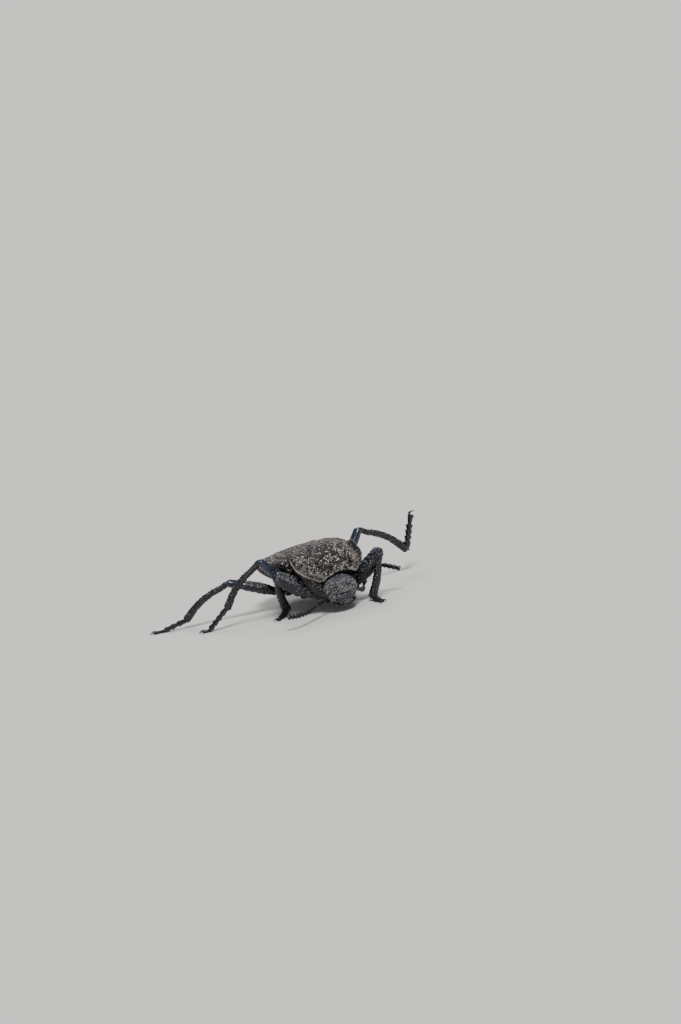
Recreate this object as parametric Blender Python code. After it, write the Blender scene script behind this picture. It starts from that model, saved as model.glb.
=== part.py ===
"""An armoured darkling beetle, life size, standing with its left middle leg raised.

Metres, +Z up, head towards +X, the beetle's left towards +Y, feet on z = 0.
Places on the body are given in widths of the pronotum from the middle of its side margins,
so that the whole animal follows from a few driving dimensions.
"""
import math

import bmesh
import bpy
import numpy as np
from mathutils import Vector

MM = 0.001
WIDTH = 13.0 * MM                    # the pronotum's greatest width, the measure of all places
STAND = 0.61                         # height of the pronotum's middle over the floor, in widths
GAP = 0.3 * MM                       # kept between touching pieces

PRONOTUM_SLOPE = math.radians(38)    # how far the pronotum falls towards the head
HEAD_SLOPE = math.radians(62)        # how far the face falls towards the mouth
HEAD_TURN = math.radians(-7)         # the head looks a little to its right

FEMUR = (0.71, 0.79, 0.80)           # lengths of fore, middle and hind legs, in widths
TIBIA = (0.66, 0.82, 0.82)
TARSUS = (0.34, 0.50, 0.52)
FEMUR_RADIUS = (0.107, 0.080, 0.076)
TIBIA_RADIUS = (0.044, 0.044, 0.044)
FEMUR_BOW = 0.015
TIBIA_BOW = 0.070
COXA_SHAPE = (0.55, 0.72, 0.80, 0.82, 0.78, 0.66, 0.45)      # shares of the femur's radius
SOCKET_SHAPE = (0.50, 0.72, 0.80, 0.82, 0.80, 0.78, 0.78)
FORE_SHAPE = (0.40, 0.52, 0.70, 0.88, 0.98, 1.00, 0.97, 0.92, 0.84, 0.74, 0.48)
WALK_SHAPE = (0.50, 0.62, 0.80, 0.94, 1.00, 0.98, 0.93, 0.87, 0.82, 0.76, 0.46)
TARSUS_RADIUS = 0.028
LEVEL_FROM = 0.78                    # share of a foot's length after which it lies on the floor
SOLE_SHARE = 0.40                    # height of the last joint over the floor, in its radii
CLAW_LENGTH = 0.10
CLAW_RADIUS = 0.018
CLAW_ARCH = 0.022
CLAW_SPREAD = 0.42
SPUR_LENGTH = 0.075
ANTENNA_JOINTS = 11
ANTENNA_RADIUS = 0.030
ANTENNA_ROOT = 0.248

BLACK = (0.012, 0.013, 0.016, 1.0)
DUST = (0.105, 0.095, 0.088, 1.0)
RUST = (0.050, 0.020, 0.012, 1.0)
AMBER = (0.030, 0.018, 0.010, 1.0)


def clear_scene():
    for thing in list(bpy.data.objects):
        bpy.data.objects.remove(thing, do_unlink=True)


def new_collection(name):
    collection = bpy.data.collections.new(name)
    bpy.context.scene.collection.children.link(collection)
    return collection


clear_scene()
BEETLE = new_collection("beetle")
CUTTERS = new_collection("cutters")


def at(x, y, z):
    """A place in metres from one in widths, measured from the pronotum's middle."""
    return Vector((x * WIDTH, y * WIDTH, (z + STAND) * WIDTH))


def material(name, color, roughness):
    made = bpy.data.materials.get(name)
    if made is None:
        made = bpy.data.materials.new(name)
        made.use_nodes = True
        shader = made.node_tree.nodes["Principled BSDF"]
        shader.inputs["Base Color"].default_value = color
        shader.inputs["Roughness"].default_value = roughness
        shader.inputs["Metallic"].default_value = 0.0
    return made


def add_object(name, mesh, color, roughness, collection=BEETLE):
    piece = bpy.data.objects.new(name, mesh)
    collection.objects.link(piece)
    mesh.materials.clear()
    mesh.materials.append(material(name + "_finish", color, roughness))
    mesh.shade_smooth()
    return piece


def keep_largest(mesh):
    """Keeps only the largest closed surface, welded, with its faces pointing out."""
    work = bmesh.new()
    work.from_mesh(mesh)
    bmesh.ops.remove_doubles(work, verts=work.verts[:], dist=1e-6)
    unseen = set(work.verts)
    shells = []
    while unseen:
        shell = {unseen.pop()}
        front = list(shell)
        while front:
            point = front.pop()
            for edge in point.link_edges:
                other = edge.other_vert(point)
                if other in unseen:
                    unseen.discard(other)
                    shell.add(other)
                    front.append(other)
        shells.append(shell)
    shells.sort(key=lambda shell: box_size(shell), reverse=True)
    for shell in shells[1:]:
        bmesh.ops.delete(work, geom=list(shell), context="VERTS")
    bmesh.ops.recalc_face_normals(work, faces=work.faces[:])
    work.to_mesh(mesh)
    work.free()


def box_size(points):
    places = np.array([point.co[:] for point in points])
    return float(np.prod(places.max(axis=0) - places.min(axis=0)))


def slab_mesh(name, top, bottom):
    """A closed solid between two grids of points, rows by columns, alike in size."""
    rows, columns = top.shape[:2]
    count = rows * columns
    points = np.concatenate([top.reshape(-1, 3), bottom.reshape(-1, 3)])
    index = np.arange(count).reshape(rows, columns)
    corner = [index[:-1, :-1], index[1:, :-1], index[1:, 1:], index[:-1, 1:]]
    upper = np.stack([part.ravel() for part in corner], axis=1)
    lower = upper[:, ::-1] + count
    rim = np.concatenate([index[0, :], index[1:, -1], index[-1, -2::-1], index[-2:0:-1, 0]])
    after = np.roll(rim, -1)
    side = np.stack([rim, after, after + count, rim + count], axis=1)
    mesh = bpy.data.meshes.new(name)
    mesh.from_pydata(points.tolist(), [], np.concatenate([upper, lower, side]).tolist())
    keep_largest(mesh)
    return mesh


def curve_mesh(name, points, radii, sides=2):
    """A tube of changing thickness along a smooth path, as a closed mesh."""
    curve = bpy.data.curves.new(name, "CURVE")
    curve.dimensions = "3D"
    curve.bevel_depth = 1.0
    curve.bevel_resolution = sides
    curve.use_fill_caps = True
    spline = curve.splines.new("POLY")
    spline.points.add(len(points) - 1)
    for slot, (point, radius) in enumerate(zip(points, radii)):
        spline.points[slot].co = (*point, 1.0)
        spline.points[slot].radius = radius
    guide = bpy.data.objects.new(name + "_path", curve)
    CUTTERS.objects.link(guide)
    bpy.context.view_layer.update()
    graph = bpy.context.evaluated_depsgraph_get()
    mesh = bpy.data.meshes.new_from_object(guide.evaluated_get(graph))
    bpy.data.objects.remove(guide, do_unlink=True)
    bpy.data.curves.remove(curve)
    keep_largest(mesh)
    return mesh


def smooth_path(points, count):
    """Evenly spaced places on a smooth curve through a few points, as Catmull-Rom spans."""
    ends = [2 * points[0] - points[1]] + list(points) + [2 * points[-1] - points[-2]]
    fine = []
    for a, b, c, d in zip(ends, ends[1:], ends[2:], ends[3:]):
        for step in np.linspace(0, 1, 24, endpoint=False):
            fine.append(0.5 * (2 * b + (c - a) * step + (2 * a - 5 * b + 4 * c - d) * step ** 2
                               + (3 * b - a - 3 * c + d) * step ** 3))
    fine.append(points[-1])
    fine = np.array([point[:] for point in fine])
    along = np.concatenate([[0], np.cumsum(np.linalg.norm(np.diff(fine, axis=0), axis=1))])
    wanted = np.linspace(0, along[-1], count)
    return np.stack([np.interp(wanted, along, fine[:, axis]) for axis in range(3)], axis=1)


def fuse(name, meshes, color, roughness):
    """Joins closed meshes into one body; the first is the one that the others grow from."""
    base = add_object(name, meshes[0], color, roughness)
    if len(meshes) == 1:
        return base
    growth = new_collection(name + "_growth")
    for mesh in meshes[1:]:
        growth.objects.link(bpy.data.objects.new(mesh.name, mesh))
    union = base.modifiers.new("union", "BOOLEAN")
    union.operation = "UNION"
    union.operand_type = "COLLECTION"
    union.collection = growth
    union.solver = "EXACT"
    bpy.context.view_layer.update()
    graph = bpy.context.evaluated_depsgraph_get()
    joined = bpy.data.meshes.new_from_object(base.evaluated_get(graph))
    base.modifiers.clear()
    for piece in list(growth.objects):
        bpy.data.objects.remove(piece, do_unlink=True)
    bpy.data.collections.remove(growth)
    keep_largest(joined)
    base.data = joined
    joined.materials.clear()
    joined.materials.append(material(name + "_finish", color, roughness))
    joined.shade_smooth()
    return base


def hollow(name, cutters):
    """Cuts room for its neighbours out of a piece; each cutter is wider than them by the gap."""
    base = bpy.data.objects[name]
    group = new_collection(name + "_room")
    for mesh in cutters:
        cutter = bpy.data.objects.new(mesh.name, mesh)
        cutter.hide_render = True
        cutter.display_type = "WIRE"
        group.objects.link(cutter)
    cut = base.modifiers.new("room", "BOOLEAN")
    cut.operation = "DIFFERENCE"
    cut.operand_type = "COLLECTION"
    cut.collection = group
    cut.solver = "EXACT"
    bpy.context.view_layer.update()
    graph = bpy.context.evaluated_depsgraph_get()
    left = bpy.data.meshes.new_from_object(base.evaluated_get(graph))
    base.modifiers.clear()
    for cutter in list(group.objects):
        bpy.data.objects.remove(cutter, do_unlink=True)
    bpy.data.collections.remove(group)
    keep_largest(left)
    base.data = left
    left.shade_smooth()


ROOM = {}


def ask_room(carrier, mesh):
    """Notes a cutter for a piece, for when every piece is in place."""
    ROOM.setdefault(carrier, []).append(mesh)


# The pronotum: a shield with broad thin side margins, sloping down to the head.

PRONOTUM_HALF = 0.272                # half its length along the side margins
PRONOTUM_ROWS = 15
PRONOTUM_COLUMNS = 25
MARGIN_THICKNESS = 0.048


def pronotum_half_width(s):
    """Half the shield's width, from 0 at its base to 1 at its front."""
    base_to_middle = 0.478 + 0.022 * np.sin(np.clip(s / 0.36, 0, 1) * math.pi / 2)
    to_front = 0.5 - 0.218 * np.clip((s - 0.36) / 0.64, 0, 1) ** 1.75
    return np.where(s < 0.36, base_to_middle, to_front)


def pronotum_point(s, t, lift):
    """A place on the shield: s base to front, t right to left, lift in widths off its plane."""
    along = PRONOTUM_HALF * (2 * s - 1)
    base_bulge = -0.015 * (1 - t ** 2) * np.clip(1 - 3 * s, 0, 1)
    front_hollow = -0.050 * (1 - t ** 2) * np.clip(3 * s - 2, 0, 1)
    along = along + base_bulge + front_hollow
    x = along * math.cos(PRONOTUM_SLOPE) + lift * math.sin(PRONOTUM_SLOPE)
    z = -along * math.sin(PRONOTUM_SLOPE) + lift * math.cos(PRONOTUM_SLOPE)
    y = t * pronotum_half_width(s)
    return np.stack([x * WIDTH, y * WIDTH, (z + STAND) * WIDTH], axis=-1)


def build_pronotum():
    s, t = np.meshgrid(np.linspace(0, 1, PRONOTUM_ROWS), np.linspace(-1, 1, PRONOTUM_COLUMNS),
                       indexing="ij")
    crown = 0.035 + 0.100 * np.sin(math.pi * s ** 0.9) + 0.05 * s
    disc = np.clip(np.abs(t) / 0.80, 0, 1)
    gutter = np.clip((np.abs(t) - 0.72) / 0.28, 0, 1)
    lift = crown * (1 - disc ** 2.4) - 0.018 * np.sin(math.pi * gutter) + 0.012 * gutter
    under = -MARGIN_THICKNESS * (1 + 0.8 * (1 - disc ** 4)) + 0.010 * gutter
    mesh = slab_mesh("pronotum", pronotum_point(s, t, lift), pronotum_point(s, t, under))
    add_object("pronotum", mesh, DUST, 0.75)


def build_prothorax():
    """The thorax block under the shield, rounded below, that carries the fore legs."""
    s, t = np.meshgrid(np.linspace(0, 1, 11), np.linspace(-1, 1, 17), indexing="ij")
    along = -0.245 + 0.50 * s
    half = 0.355 - 0.125 * s ** 1.6
    ceiling = -MARGIN_THICKNESS * 1.85 - GAP / WIDTH * 1.15
    x = along * math.cos(PRONOTUM_SLOPE) + ceiling * math.sin(PRONOTUM_SLOPE)
    z = -along * math.sin(PRONOTUM_SLOPE) + ceiling * math.cos(PRONOTUM_SLOPE)
    top = np.stack([x * WIDTH, t * half * WIDTH, (z + STAND) * WIDTH], axis=-1)
    floor = -0.47 - 0.02 * np.sin(math.pi * s)
    depth = (z - 0.035 - floor) * np.sqrt(np.clip(1 - np.abs(t) ** 3.0, 0, 1)) + 0.035
    low_x = x + 0.10 * (0.35 - s) * (1 - t ** 2)
    low = np.stack([low_x * WIDTH, t * half * 0.93 * WIDTH, (z - depth + STAND) * WIDTH], axis=-1)
    add_object("prothorax", slab_mesh("prothorax", top, low), BLACK, 0.5)


# The wing cases: a flat oval back with a rounded shoulder edge and steep flanks.

CASE_FRONT = -0.287
CASE_LENGTH = 1.36
CASE_HALF = 0.545                    # half the width of both, at its greatest
CASE_ROWS = 21
CASE_COLUMNS = 15
CASE_FLOOR = -0.25                   # height of the flanks' lower edge
CASE_EDGE = 0.115                    # height of the shoulder edge
CASE_CROWN = 0.070                   # rise of the back from the shoulder edge to the seam
CASE_FALL = 0.25                     # drop of the shoulder edge at the tip
CASE_LIP = 0.06                      # depth of the hollow that takes the belly's roof
SHOULDER = 0.66                      # share of a section's points that lie on the back


def case_half_width(s):
    """Half the wing cases' width, 0 at their front and 1 at their tip."""
    front = CASE_HALF - 0.065 * np.clip(1 - s / 0.5, 0, 1) ** 2.0
    rear = CASE_HALF * np.sqrt(np.clip(1 - (np.clip(s - 0.5, 0, 1) / 0.5) ** 2.6, 0, 1))
    return np.where(s < 0.5, front, rear)


def case_heights(s):
    """Heights of the shoulder edge, of the crown over it, and of the flanks' lower edge."""
    fall = np.clip((s - 0.20) / 0.80, 0, 1)
    front_drop = 0.05 * (1 - np.sin(np.clip(s / 0.10, 0, 1) * math.pi / 2))
    edge = CASE_EDGE - CASE_FALL * fall ** 2.4 - front_drop
    crown = CASE_CROWN * np.sqrt(np.clip(1 - fall ** 2.6, 0, 1)) + 0.005
    bottom_edge = np.minimum(CASE_FLOOR + 0.03 * fall, edge - 0.12)
    return edge, crown, bottom_edge


def build_wing_case(side, name):
    s, t = np.meshgrid((1 - (1 - np.linspace(0, 1, CASE_ROWS)) ** 1.25) * 0.995,
                       np.linspace(0, 1, CASE_COLUMNS), indexing="ij")
    half = case_half_width(s)
    edge, crown, bottom_edge = case_heights(s)
    over = np.clip(t / SHOULDER, 0, 1)
    down = np.clip((t - SHOULDER) / (1 - SHOULDER), 0, 1)
    y = half * np.sin(over * math.pi / 2) * (1 - 0.38 * down ** 1.9) + GAP / WIDTH / 2
    z = edge + crown * np.cos(over * math.pi / 2) ** 1.15 + (bottom_edge - edge) * down ** 1.1
    x = CASE_FRONT - CASE_LENGTH * s - 0.03 * (1 - over) * np.clip(1 - 4 * s, 0, 1)
    top = np.stack([x * WIDTH, side * y * WIDTH, (z + STAND) * WIDTH], axis=-1)
    inner = top.copy()
    lip = np.where(t < 1, CASE_LIP, 0)
    inner[..., 2] = (bottom_edge - 0.02 + lip + STAND) * WIDTH
    inner[..., 1] = side * (GAP / 2 + (np.abs(top[:, -1:, 1]) - GAP / 2) * 0.96 * t)
    add_object(name, slab_mesh(name, top, inner), DUST, 0.75)


WAIST_MIDDLE = (-0.28, 0, -0.14)
WAIST_HALF = (0.09, 0.22, 0.24)


def build_belly():
    """The breast and belly plates under the wing cases, and the waist before the breast."""
    plates = (("metathorax", -0.300, -0.690, 0.0), ("abdomen", -0.715, -1.560, 1.0))
    for name, front, rear, ribs in plates:
        s, t = np.meshgrid(np.linspace(0, 1, 16), np.linspace(-1, 1, 13), indexing="ij")
        x = front + (rear - front) * s
        along = np.clip((CASE_FRONT - x) / CASE_LENGTH, 0, 1)
        half = case_half_width(along) * 0.57 - 0.028
        roof = case_heights(along)[2] + 0.010
        step = 0.012 * ribs * (1 - (s * 3.9) % 1.0)
        deep = 0.26 * np.sqrt(np.clip(1 - (along / 1.02) ** 3, 0, 1)) + step
        low = roof - 0.03 - (deep - 0.02) * np.sqrt(np.clip(1 - np.abs(t) ** 2.6, 0, 1))
        top = np.stack([x * WIDTH, t * half * WIDTH, (roof + STAND) * WIDTH], axis=-1)
        under = np.stack([x * WIDTH, t * half * 0.94 * WIDTH, (low + STAND) * WIDTH], axis=-1)
        meshes = [slab_mesh(name, top, under)]
        if name == "metathorax":
            meshes.append(ball_mesh("waist", WAIST_MIDDLE, WAIST_HALF, 10, 16, at))
        fuse(name, meshes, BLACK, 0.45)
    wide = [half + GAP / WIDTH * 1.2 for half in WAIST_HALF]
    for carrier in ("pronotum", "prothorax", "wing_case_left", "wing_case_right"):
        ask_room(carrier, ball_mesh("waist_room", WAIST_MIDDLE, wide, 10, 16, at))


# The head: a round rough disc sunk in the pronotum's front, with its mouth below.

HEAD_CENTRE = (0.245, -0.055, -0.315)
NECK_MIDDLE = (-0.08, 0.02, -0.06)
NECK_HALF = (0.12, 0.13, 0.12)
HEAD_HALF = (0.120, 0.238, 0.195)    # depth, half width and half height of the face


def head_frame(depth, across, down):
    """A place on the head, in widths: out of the face, to its left, and down the face."""
    out = Vector((math.sin(HEAD_SLOPE), 0, math.cos(HEAD_SLOPE)))
    low = Vector((math.cos(HEAD_SLOPE), 0, -math.sin(HEAD_SLOPE)))
    local = out * depth + low * down + Vector((0, across, 0))
    turn = Vector((local.x * math.cos(HEAD_TURN) - local.y * math.sin(HEAD_TURN),
                   local.x * math.sin(HEAD_TURN) + local.y * math.cos(HEAD_TURN), local.z))
    return at(*(Vector(HEAD_CENTRE) + turn))


def ball_mesh(name, middle, half, rings, sectors, frame=head_frame):
    """A flattened ball; on the head, middle and half are out, across and down the face."""
    mesh = bpy.data.meshes.new(name)
    work = bmesh.new()
    bmesh.ops.create_uvsphere(work, u_segments=sectors, v_segments=rings, radius=1.0)
    for point in work.verts:
        place = [middle[axis] + half[axis] * point.co[axis] for axis in range(3)]
        point.co = frame(*place)
    work.to_mesh(mesh)
    work.free()
    keep_largest(mesh)
    return mesh


SKULL = ((0, 0, 0), HEAD_HALF, 14, 24)
NECK = (NECK_MIDDLE, NECK_HALF, 10, 18)
BROW = ((0.030, 0, 0.130), (0.070, 0.165, 0.075), 8, 18)
LABRUM = ((0.042, 0, 0.206), (0.035, 0.090, 0.028), 8, 14)
EYE = ((-0.01, 0.225, -0.02), (0.042, 0.034, 0.066), 8, 12)
JAW = ((-0.045, 0.058, 0.205), (0.035, 0.046, 0.042), 8, 12)
PALP = ((-0.112, 0.118, 0.165), (-0.107, 0.163, 0.190), (-0.072, 0.176, 0.212), (-0.030, 0.150, 0.222))


def mirrored(form, side):
    """The same form on the other side of the head where side is -1."""
    middle, half, rings, sectors = form
    return (middle[0], side * middle[1], middle[2]), half, rings, sectors


def widened(form):
    """The same form with the gap, and a little for its flat facets, added all round."""
    middle, half, rings, sectors = form
    return middle, [size + GAP / WIDTH * 1.2 for size in half], rings, sectors


def build_head():
    fuse("head", [ball_mesh("head", *SKULL), ball_mesh("neck", *NECK), ball_mesh("brow", *BROW)],
         DUST, 0.7)
    for carrier in ("pronotum", "prothorax"):
        ask_room(carrier, ball_mesh("face_room", *widened(SKULL)))
        ask_room(carrier, ball_mesh("neck_room", *widened(NECK)))
    add_object("labrum", ball_mesh("labrum", *LABRUM), RUST, 0.45)
    ask_room("head", ball_mesh("lip_room", *widened(LABRUM)))
    for side, word in ((1, "left"), (-1, "right")):
        eye = mirrored(EYE, side)
        add_object("eye_" + word, ball_mesh("eye_" + word, *eye), AMBER, 0.2)
        ask_room("head", ball_mesh("eye_room", *widened(eye)))
        jaw = mirrored(JAW, side)
        add_object("mandible_" + word, ball_mesh("mandible_" + word, *jaw), BLACK, 0.35)
        ask_room("head", ball_mesh("jaw_room", *widened(jaw)))
        path = smooth_path([head_frame(out, side * across, down) for out, across, down in PALP], 13)
        radii = [(0.020 + 0.006 * math.sin(step * 2.2) ** 2 + 0.006 * (step > 9)) * WIDTH
                 for step in range(13)]
        mesh = curve_mesh("palp_" + word, path, radii)
        add_object("palp_" + word, mesh, RUST, 0.4)


def beads(count, length, radius, waist):
    """Radii along a chain of rounded joints, four places to a joint."""
    share = (0.0, 0.30, 0.62, 0.90)
    height = (waist, 0.86, 1.0, 0.90)
    places = [(joint + part) / count * length for joint in range(count) for part in share]
    sizes = [radius * size for joint in range(count) for size in height]
    return places + [length], sizes + [radius * 0.35]


def build_antenna(side, word, route):
    """Eleven rounded joints on a smooth route that starts at the side of the head."""
    root = head_frame(0.0, side * ANTENNA_ROOT, 0.085)
    path = smooth_path([root] + [at(*point) for point in route], 200)
    places, sizes = beads(ANTENNA_JOINTS, 1.0, ANTENNA_RADIUS * WIDTH, 0.55)
    index = np.clip(np.array(places) * 199, 0, 199)
    points = [path[int(round(step))] for step in index]
    mesh = curve_mesh("antenna_" + word, points, sizes)
    add_object("antenna_" + word, mesh, BLACK, 0.4)


# The legs: each knee follows from the lengths of its femur and tibia.

def find_knee(root, foot, upper, lower, towards):
    """The place at both lengths from the two ends that lies most towards a given point."""
    axis = foot - root
    reach = axis.length
    unit = axis / reach
    share = (upper ** 2 - lower ** 2 + reach ** 2) / (2 * reach)
    rise = math.sqrt(max(upper ** 2 - share ** 2, 0.0))
    aim = towards - root
    out = (aim - unit * aim.dot(unit)).normalized()
    return root + unit * share + out * rise


def limb_points(start, end, bow, count):
    """Places along a gently bowed limb between two points."""
    path = []
    for step in np.linspace(0, 1, count):
        path.append(start.lerp(end, step) + bow * math.sin(math.pi * step))
    return path


def cone_mesh(name, start, end, radius, bow):
    points = limb_points(start, end, bow, 6)
    sizes = [radius * (1 - 0.8 * step) for step in np.linspace(0, 1, 6)]
    return curve_mesh(name, points, sizes, sides=1)


def floor_mesh():
    """A block under the floor, which cuts a foot's sole flat."""
    mesh = bpy.data.meshes.new("floor_block")
    work = bmesh.new()
    bmesh.ops.create_cube(work, size=8 * WIDTH)
    for point in work.verts:
        point.co.z -= 4 * WIDTH
    work.to_mesh(mesh)
    work.free()
    return mesh


def build_leg(word, pair, root, ankle, knee_hint, toe, grip=None):
    """One leg from its body joint to its claws; pair is 0, 1 or 2 from the front.

    A leg with a grip, the way its claws point, is raised; the others stand on the floor.
    """
    root, ankle, hint, toe = at(*root), at(*ankle), at(*knee_hint), at(*toe)
    knee = find_knee(root, ankle, FEMUR[pair] * WIDTH, TIBIA[pair] * WIDTH, hint)
    thigh = (knee - root).normalized()
    shin = (ankle - knee).normalized()
    stout = FEMUR_RADIUS[pair] * WIDTH
    slim = TIBIA_RADIUS[pair] * WIDTH
    carrier = ("prothorax", "metathorax", "abdomen")[pair]
    straight = Vector((0, 0, 0))

    coxa_end = root + thigh * 0.02 * WIDTH
    inner = Vector((root.x, root.y * 0.55, root.z + 0.02 * WIDTH))
    out = (coxa_end - inner).normalized()
    coxa = curve_mesh("coxa_" + word, limb_points(inner, coxa_end, straight, len(COXA_SHAPE)),
                      [stout * size for size in COXA_SHAPE])
    add_object("coxa_" + word, coxa, BLACK, 0.4)
    for neighbour in (("prothorax",) if pair == 0 else ("metathorax", "abdomen")):
        path = limb_points(inner - out * GAP, coxa_end + out * 3 * GAP, straight, len(SOCKET_SHAPE))
        ask_room(neighbour, curve_mesh("socket_" + word, path,
                                       [stout * size + GAP for size in SOCKET_SHAPE]))

    shape = FORE_SHAPE if pair == 0 else WALK_SHAPE
    bow = (hint - (root + ankle) / 2).normalized() * FEMUR_BOW * WIDTH
    path = limb_points(coxa_end + thigh * (GAP * 3.2), knee - thigh * 0.012 * WIDTH, bow, len(shape))
    femur = curve_mesh("femur_" + word, path, [stout * size for size in shape], sides=3)
    add_object("femur_" + word, femur, BLACK, 0.45)
    inner_part = slice(0, 7)
    wide = [stout * size + GAP for size in shape[inner_part]]
    flank = "wing_case_" + word.split("_")[1]
    for neighbour in (carrier, "pronotum" if pair == 0 else flank):
        ask_room(neighbour, curve_mesh("thigh_room", path[inner_part], wide))

    side_way = shin.cross(thigh).normalized()
    bend = side_way.cross(shin).normalized()
    if bend.dot(thigh) < 0:
        bend = -bend
    knee_out = knee - thigh * 0.020 * WIDTH + shin * stout * 0.20
    shin_points = limb_points(knee_out, ankle, bend * TIBIA_BOW * WIDTH, 13)
    shin_sizes = [slim * (0.84 + 0.24 * step ** 1.2) for step in np.linspace(0, 1, 13)]
    shin_sizes[0] = slim * 0.60
    shin_sizes[-1] = slim * 0.86
    tibia = curve_mesh("tibia_" + word, shin_points, shin_sizes)
    wide = [size + GAP for size in shin_sizes[:6]]
    room_path = [knee_out - shin * GAP] + shin_points[1:6]
    ask_room("femur_" + word, curve_mesh("knee_room", room_path, wide))
    spurs = []
    for hand in (-1, 1):
        spur_root = ankle - shin * 0.03 * WIDTH + side_way * hand * slim * 0.55
        spur_end = spur_root + (shin + side_way * hand * 0.5).normalized() * SPUR_LENGTH * WIDTH
        spur_end.z = max(spur_end.z, 2 * GAP)
        spurs.append(cone_mesh("spur", spur_root, spur_end, slim * 0.38, straight))
    fuse("tibia_" + word, [tibia] + spurs, BLACK, 0.5)

    away = (toe - ankle).normalized()
    tread = (TARSUS[pair] - CLAW_LENGTH) * WIDTH
    heel = ankle + away * (slim * 1.05 + GAP * 1.3)
    target = heel + away * tread
    places, sizes = beads(5 if pair < 2 else 4, 1.0, TARSUS_RADIUS * WIDTH, 0.62)
    points = [heel.lerp(target, place) for place in places]
    forward = (target - heel).normalized()
    if grip is None:
        sole = TARSUS_RADIUS * WIDTH * SOLE_SHARE
        for point, place in zip(points, places):
            point.z = sole + (heel.z - sole) * max(1 - place / LEVEL_FROM, 0)
        target.z = sole
        forward.z = 0
        forward.normalize()
    claws = []
    across = forward.cross(Vector((0, 0, 1))).normalized()
    if grip is not None:
        forward = Vector(grip).normalized()
        across = across.cross(forward).normalized()
    for hand in (-1, 1):
        claw_root = target - forward * 0.02 * WIDTH + across * hand * 0.010 * WIDTH
        claw_way = (forward + across * hand * CLAW_SPREAD).normalized()
        claw_end = claw_root + claw_way * CLAW_LENGTH * WIDTH
        if grip is None:
            claw_end.z = 0.012 * WIDTH
        arch = Vector((0, 0, CLAW_ARCH * WIDTH))
        claws.append(cone_mesh("claw", claw_root, claw_end, CLAW_RADIUS * WIDTH, arch))
    foot = [curve_mesh("tarsus_" + word, points, sizes)] + claws
    fuse("tarsus_" + word, foot, BLACK, 0.4)
    if grip is None:
        ask_room("tarsus_" + word, floor_mesh())


LEGS = (
    # name, pair, body joint, ankle, side the knee bends to, toe
    ("fore_left", 0, (0.02, 0.22, -0.43), (0.27, 0.36, -0.565), (0.44, 0.56, 0.03),
     (0.72, 0.33, -0.60)),
    ("fore_right", 0, (0.02, -0.22, -0.43), (-0.59, -0.51, -0.555), (-0.29, -0.70, 0.0),
     (-0.32, -0.84, -0.60)),
    ("middle_left", 1, (-0.50, 0.30, -0.42), (-0.69, 1.46, -0.32), (-0.64, 0.82, 0.26),
     (-0.69, 1.65, 0.13), (0.44, 0.87, -0.24)),
    ("middle_right", 1, (-0.50, -0.30, -0.42), (-0.94, -1.20, -0.34), (-0.48, -0.75, 0.30),
     (-1.20, -1.53, -0.60)),
    ("hind_left", 2, (-1.02, 0.28, -0.42), (-2.12, 1.10, -0.50), (-1.54, 0.72, -0.22),
     (-2.52, 1.34, -0.60)),
    ("hind_right", 2, (-1.02, -0.28, -0.42), (-1.80, -1.46, -0.50), (-1.36, -1.0, -0.16),
     (-2.10, -1.82, -0.60)),
)


def centre_on_floor():
    """Moves the whole animal so that the origin lies under the middle of its box."""
    bpy.context.view_layer.update()
    places = np.concatenate([np.array([point.co[:] for point in piece.data.vertices])
                             for piece in BEETLE.objects])
    middle = (places.min(axis=0) + places.max(axis=0)) / 2
    for piece in BEETLE.objects:
        for point in piece.data.vertices:
            point.co.x -= middle[0]
            point.co.y -= middle[1]


build_pronotum()
build_prothorax()
build_wing_case(1, "wing_case_left")
build_wing_case(-1, "wing_case_right")
build_belly()
build_head()
build_antenna(1, "left", [(0.25, 0.30, -0.42), (0.17, 0.43, -0.40), (0.17, 0.62, -0.215),
                          (0.32, 0.84, -0.31)])
build_antenna(-1, "right", [(0.29, -0.42, -0.42), (0.37, -0.62, -0.45), (0.45, -0.80, -0.44),
                            (0.42, -0.97, -0.42)])
for leg in LEGS:
    build_leg(*leg)
for carrier, cutters in ROOM.items():
    hollow(carrier, cutters)
centre_on_floor()
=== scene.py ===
"""Looks of a dusty armoured darkling beetle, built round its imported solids."""
import itertools
import math

import bmesh
import bpy
import numpy as np
from mathutils import Matrix, Vector


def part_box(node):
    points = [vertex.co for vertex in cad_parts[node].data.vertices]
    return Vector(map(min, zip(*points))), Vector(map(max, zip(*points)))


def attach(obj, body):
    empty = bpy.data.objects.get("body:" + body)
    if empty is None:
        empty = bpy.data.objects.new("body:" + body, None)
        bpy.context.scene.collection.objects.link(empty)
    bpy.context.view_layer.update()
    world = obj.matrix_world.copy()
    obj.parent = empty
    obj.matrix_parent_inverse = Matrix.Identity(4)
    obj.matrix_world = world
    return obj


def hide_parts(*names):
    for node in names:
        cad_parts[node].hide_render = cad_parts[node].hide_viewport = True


bl_info = {
    "name": "Darkling beetle",
    "version": (1, 0, 0),
    "blender": (4, 5, 0),
    "location": "3D View > Sidebar > Beetle",
    "description": "Makes the shell, legs, head and dust of a life-size darkling beetle",
    "category": "Object",
}

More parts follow.
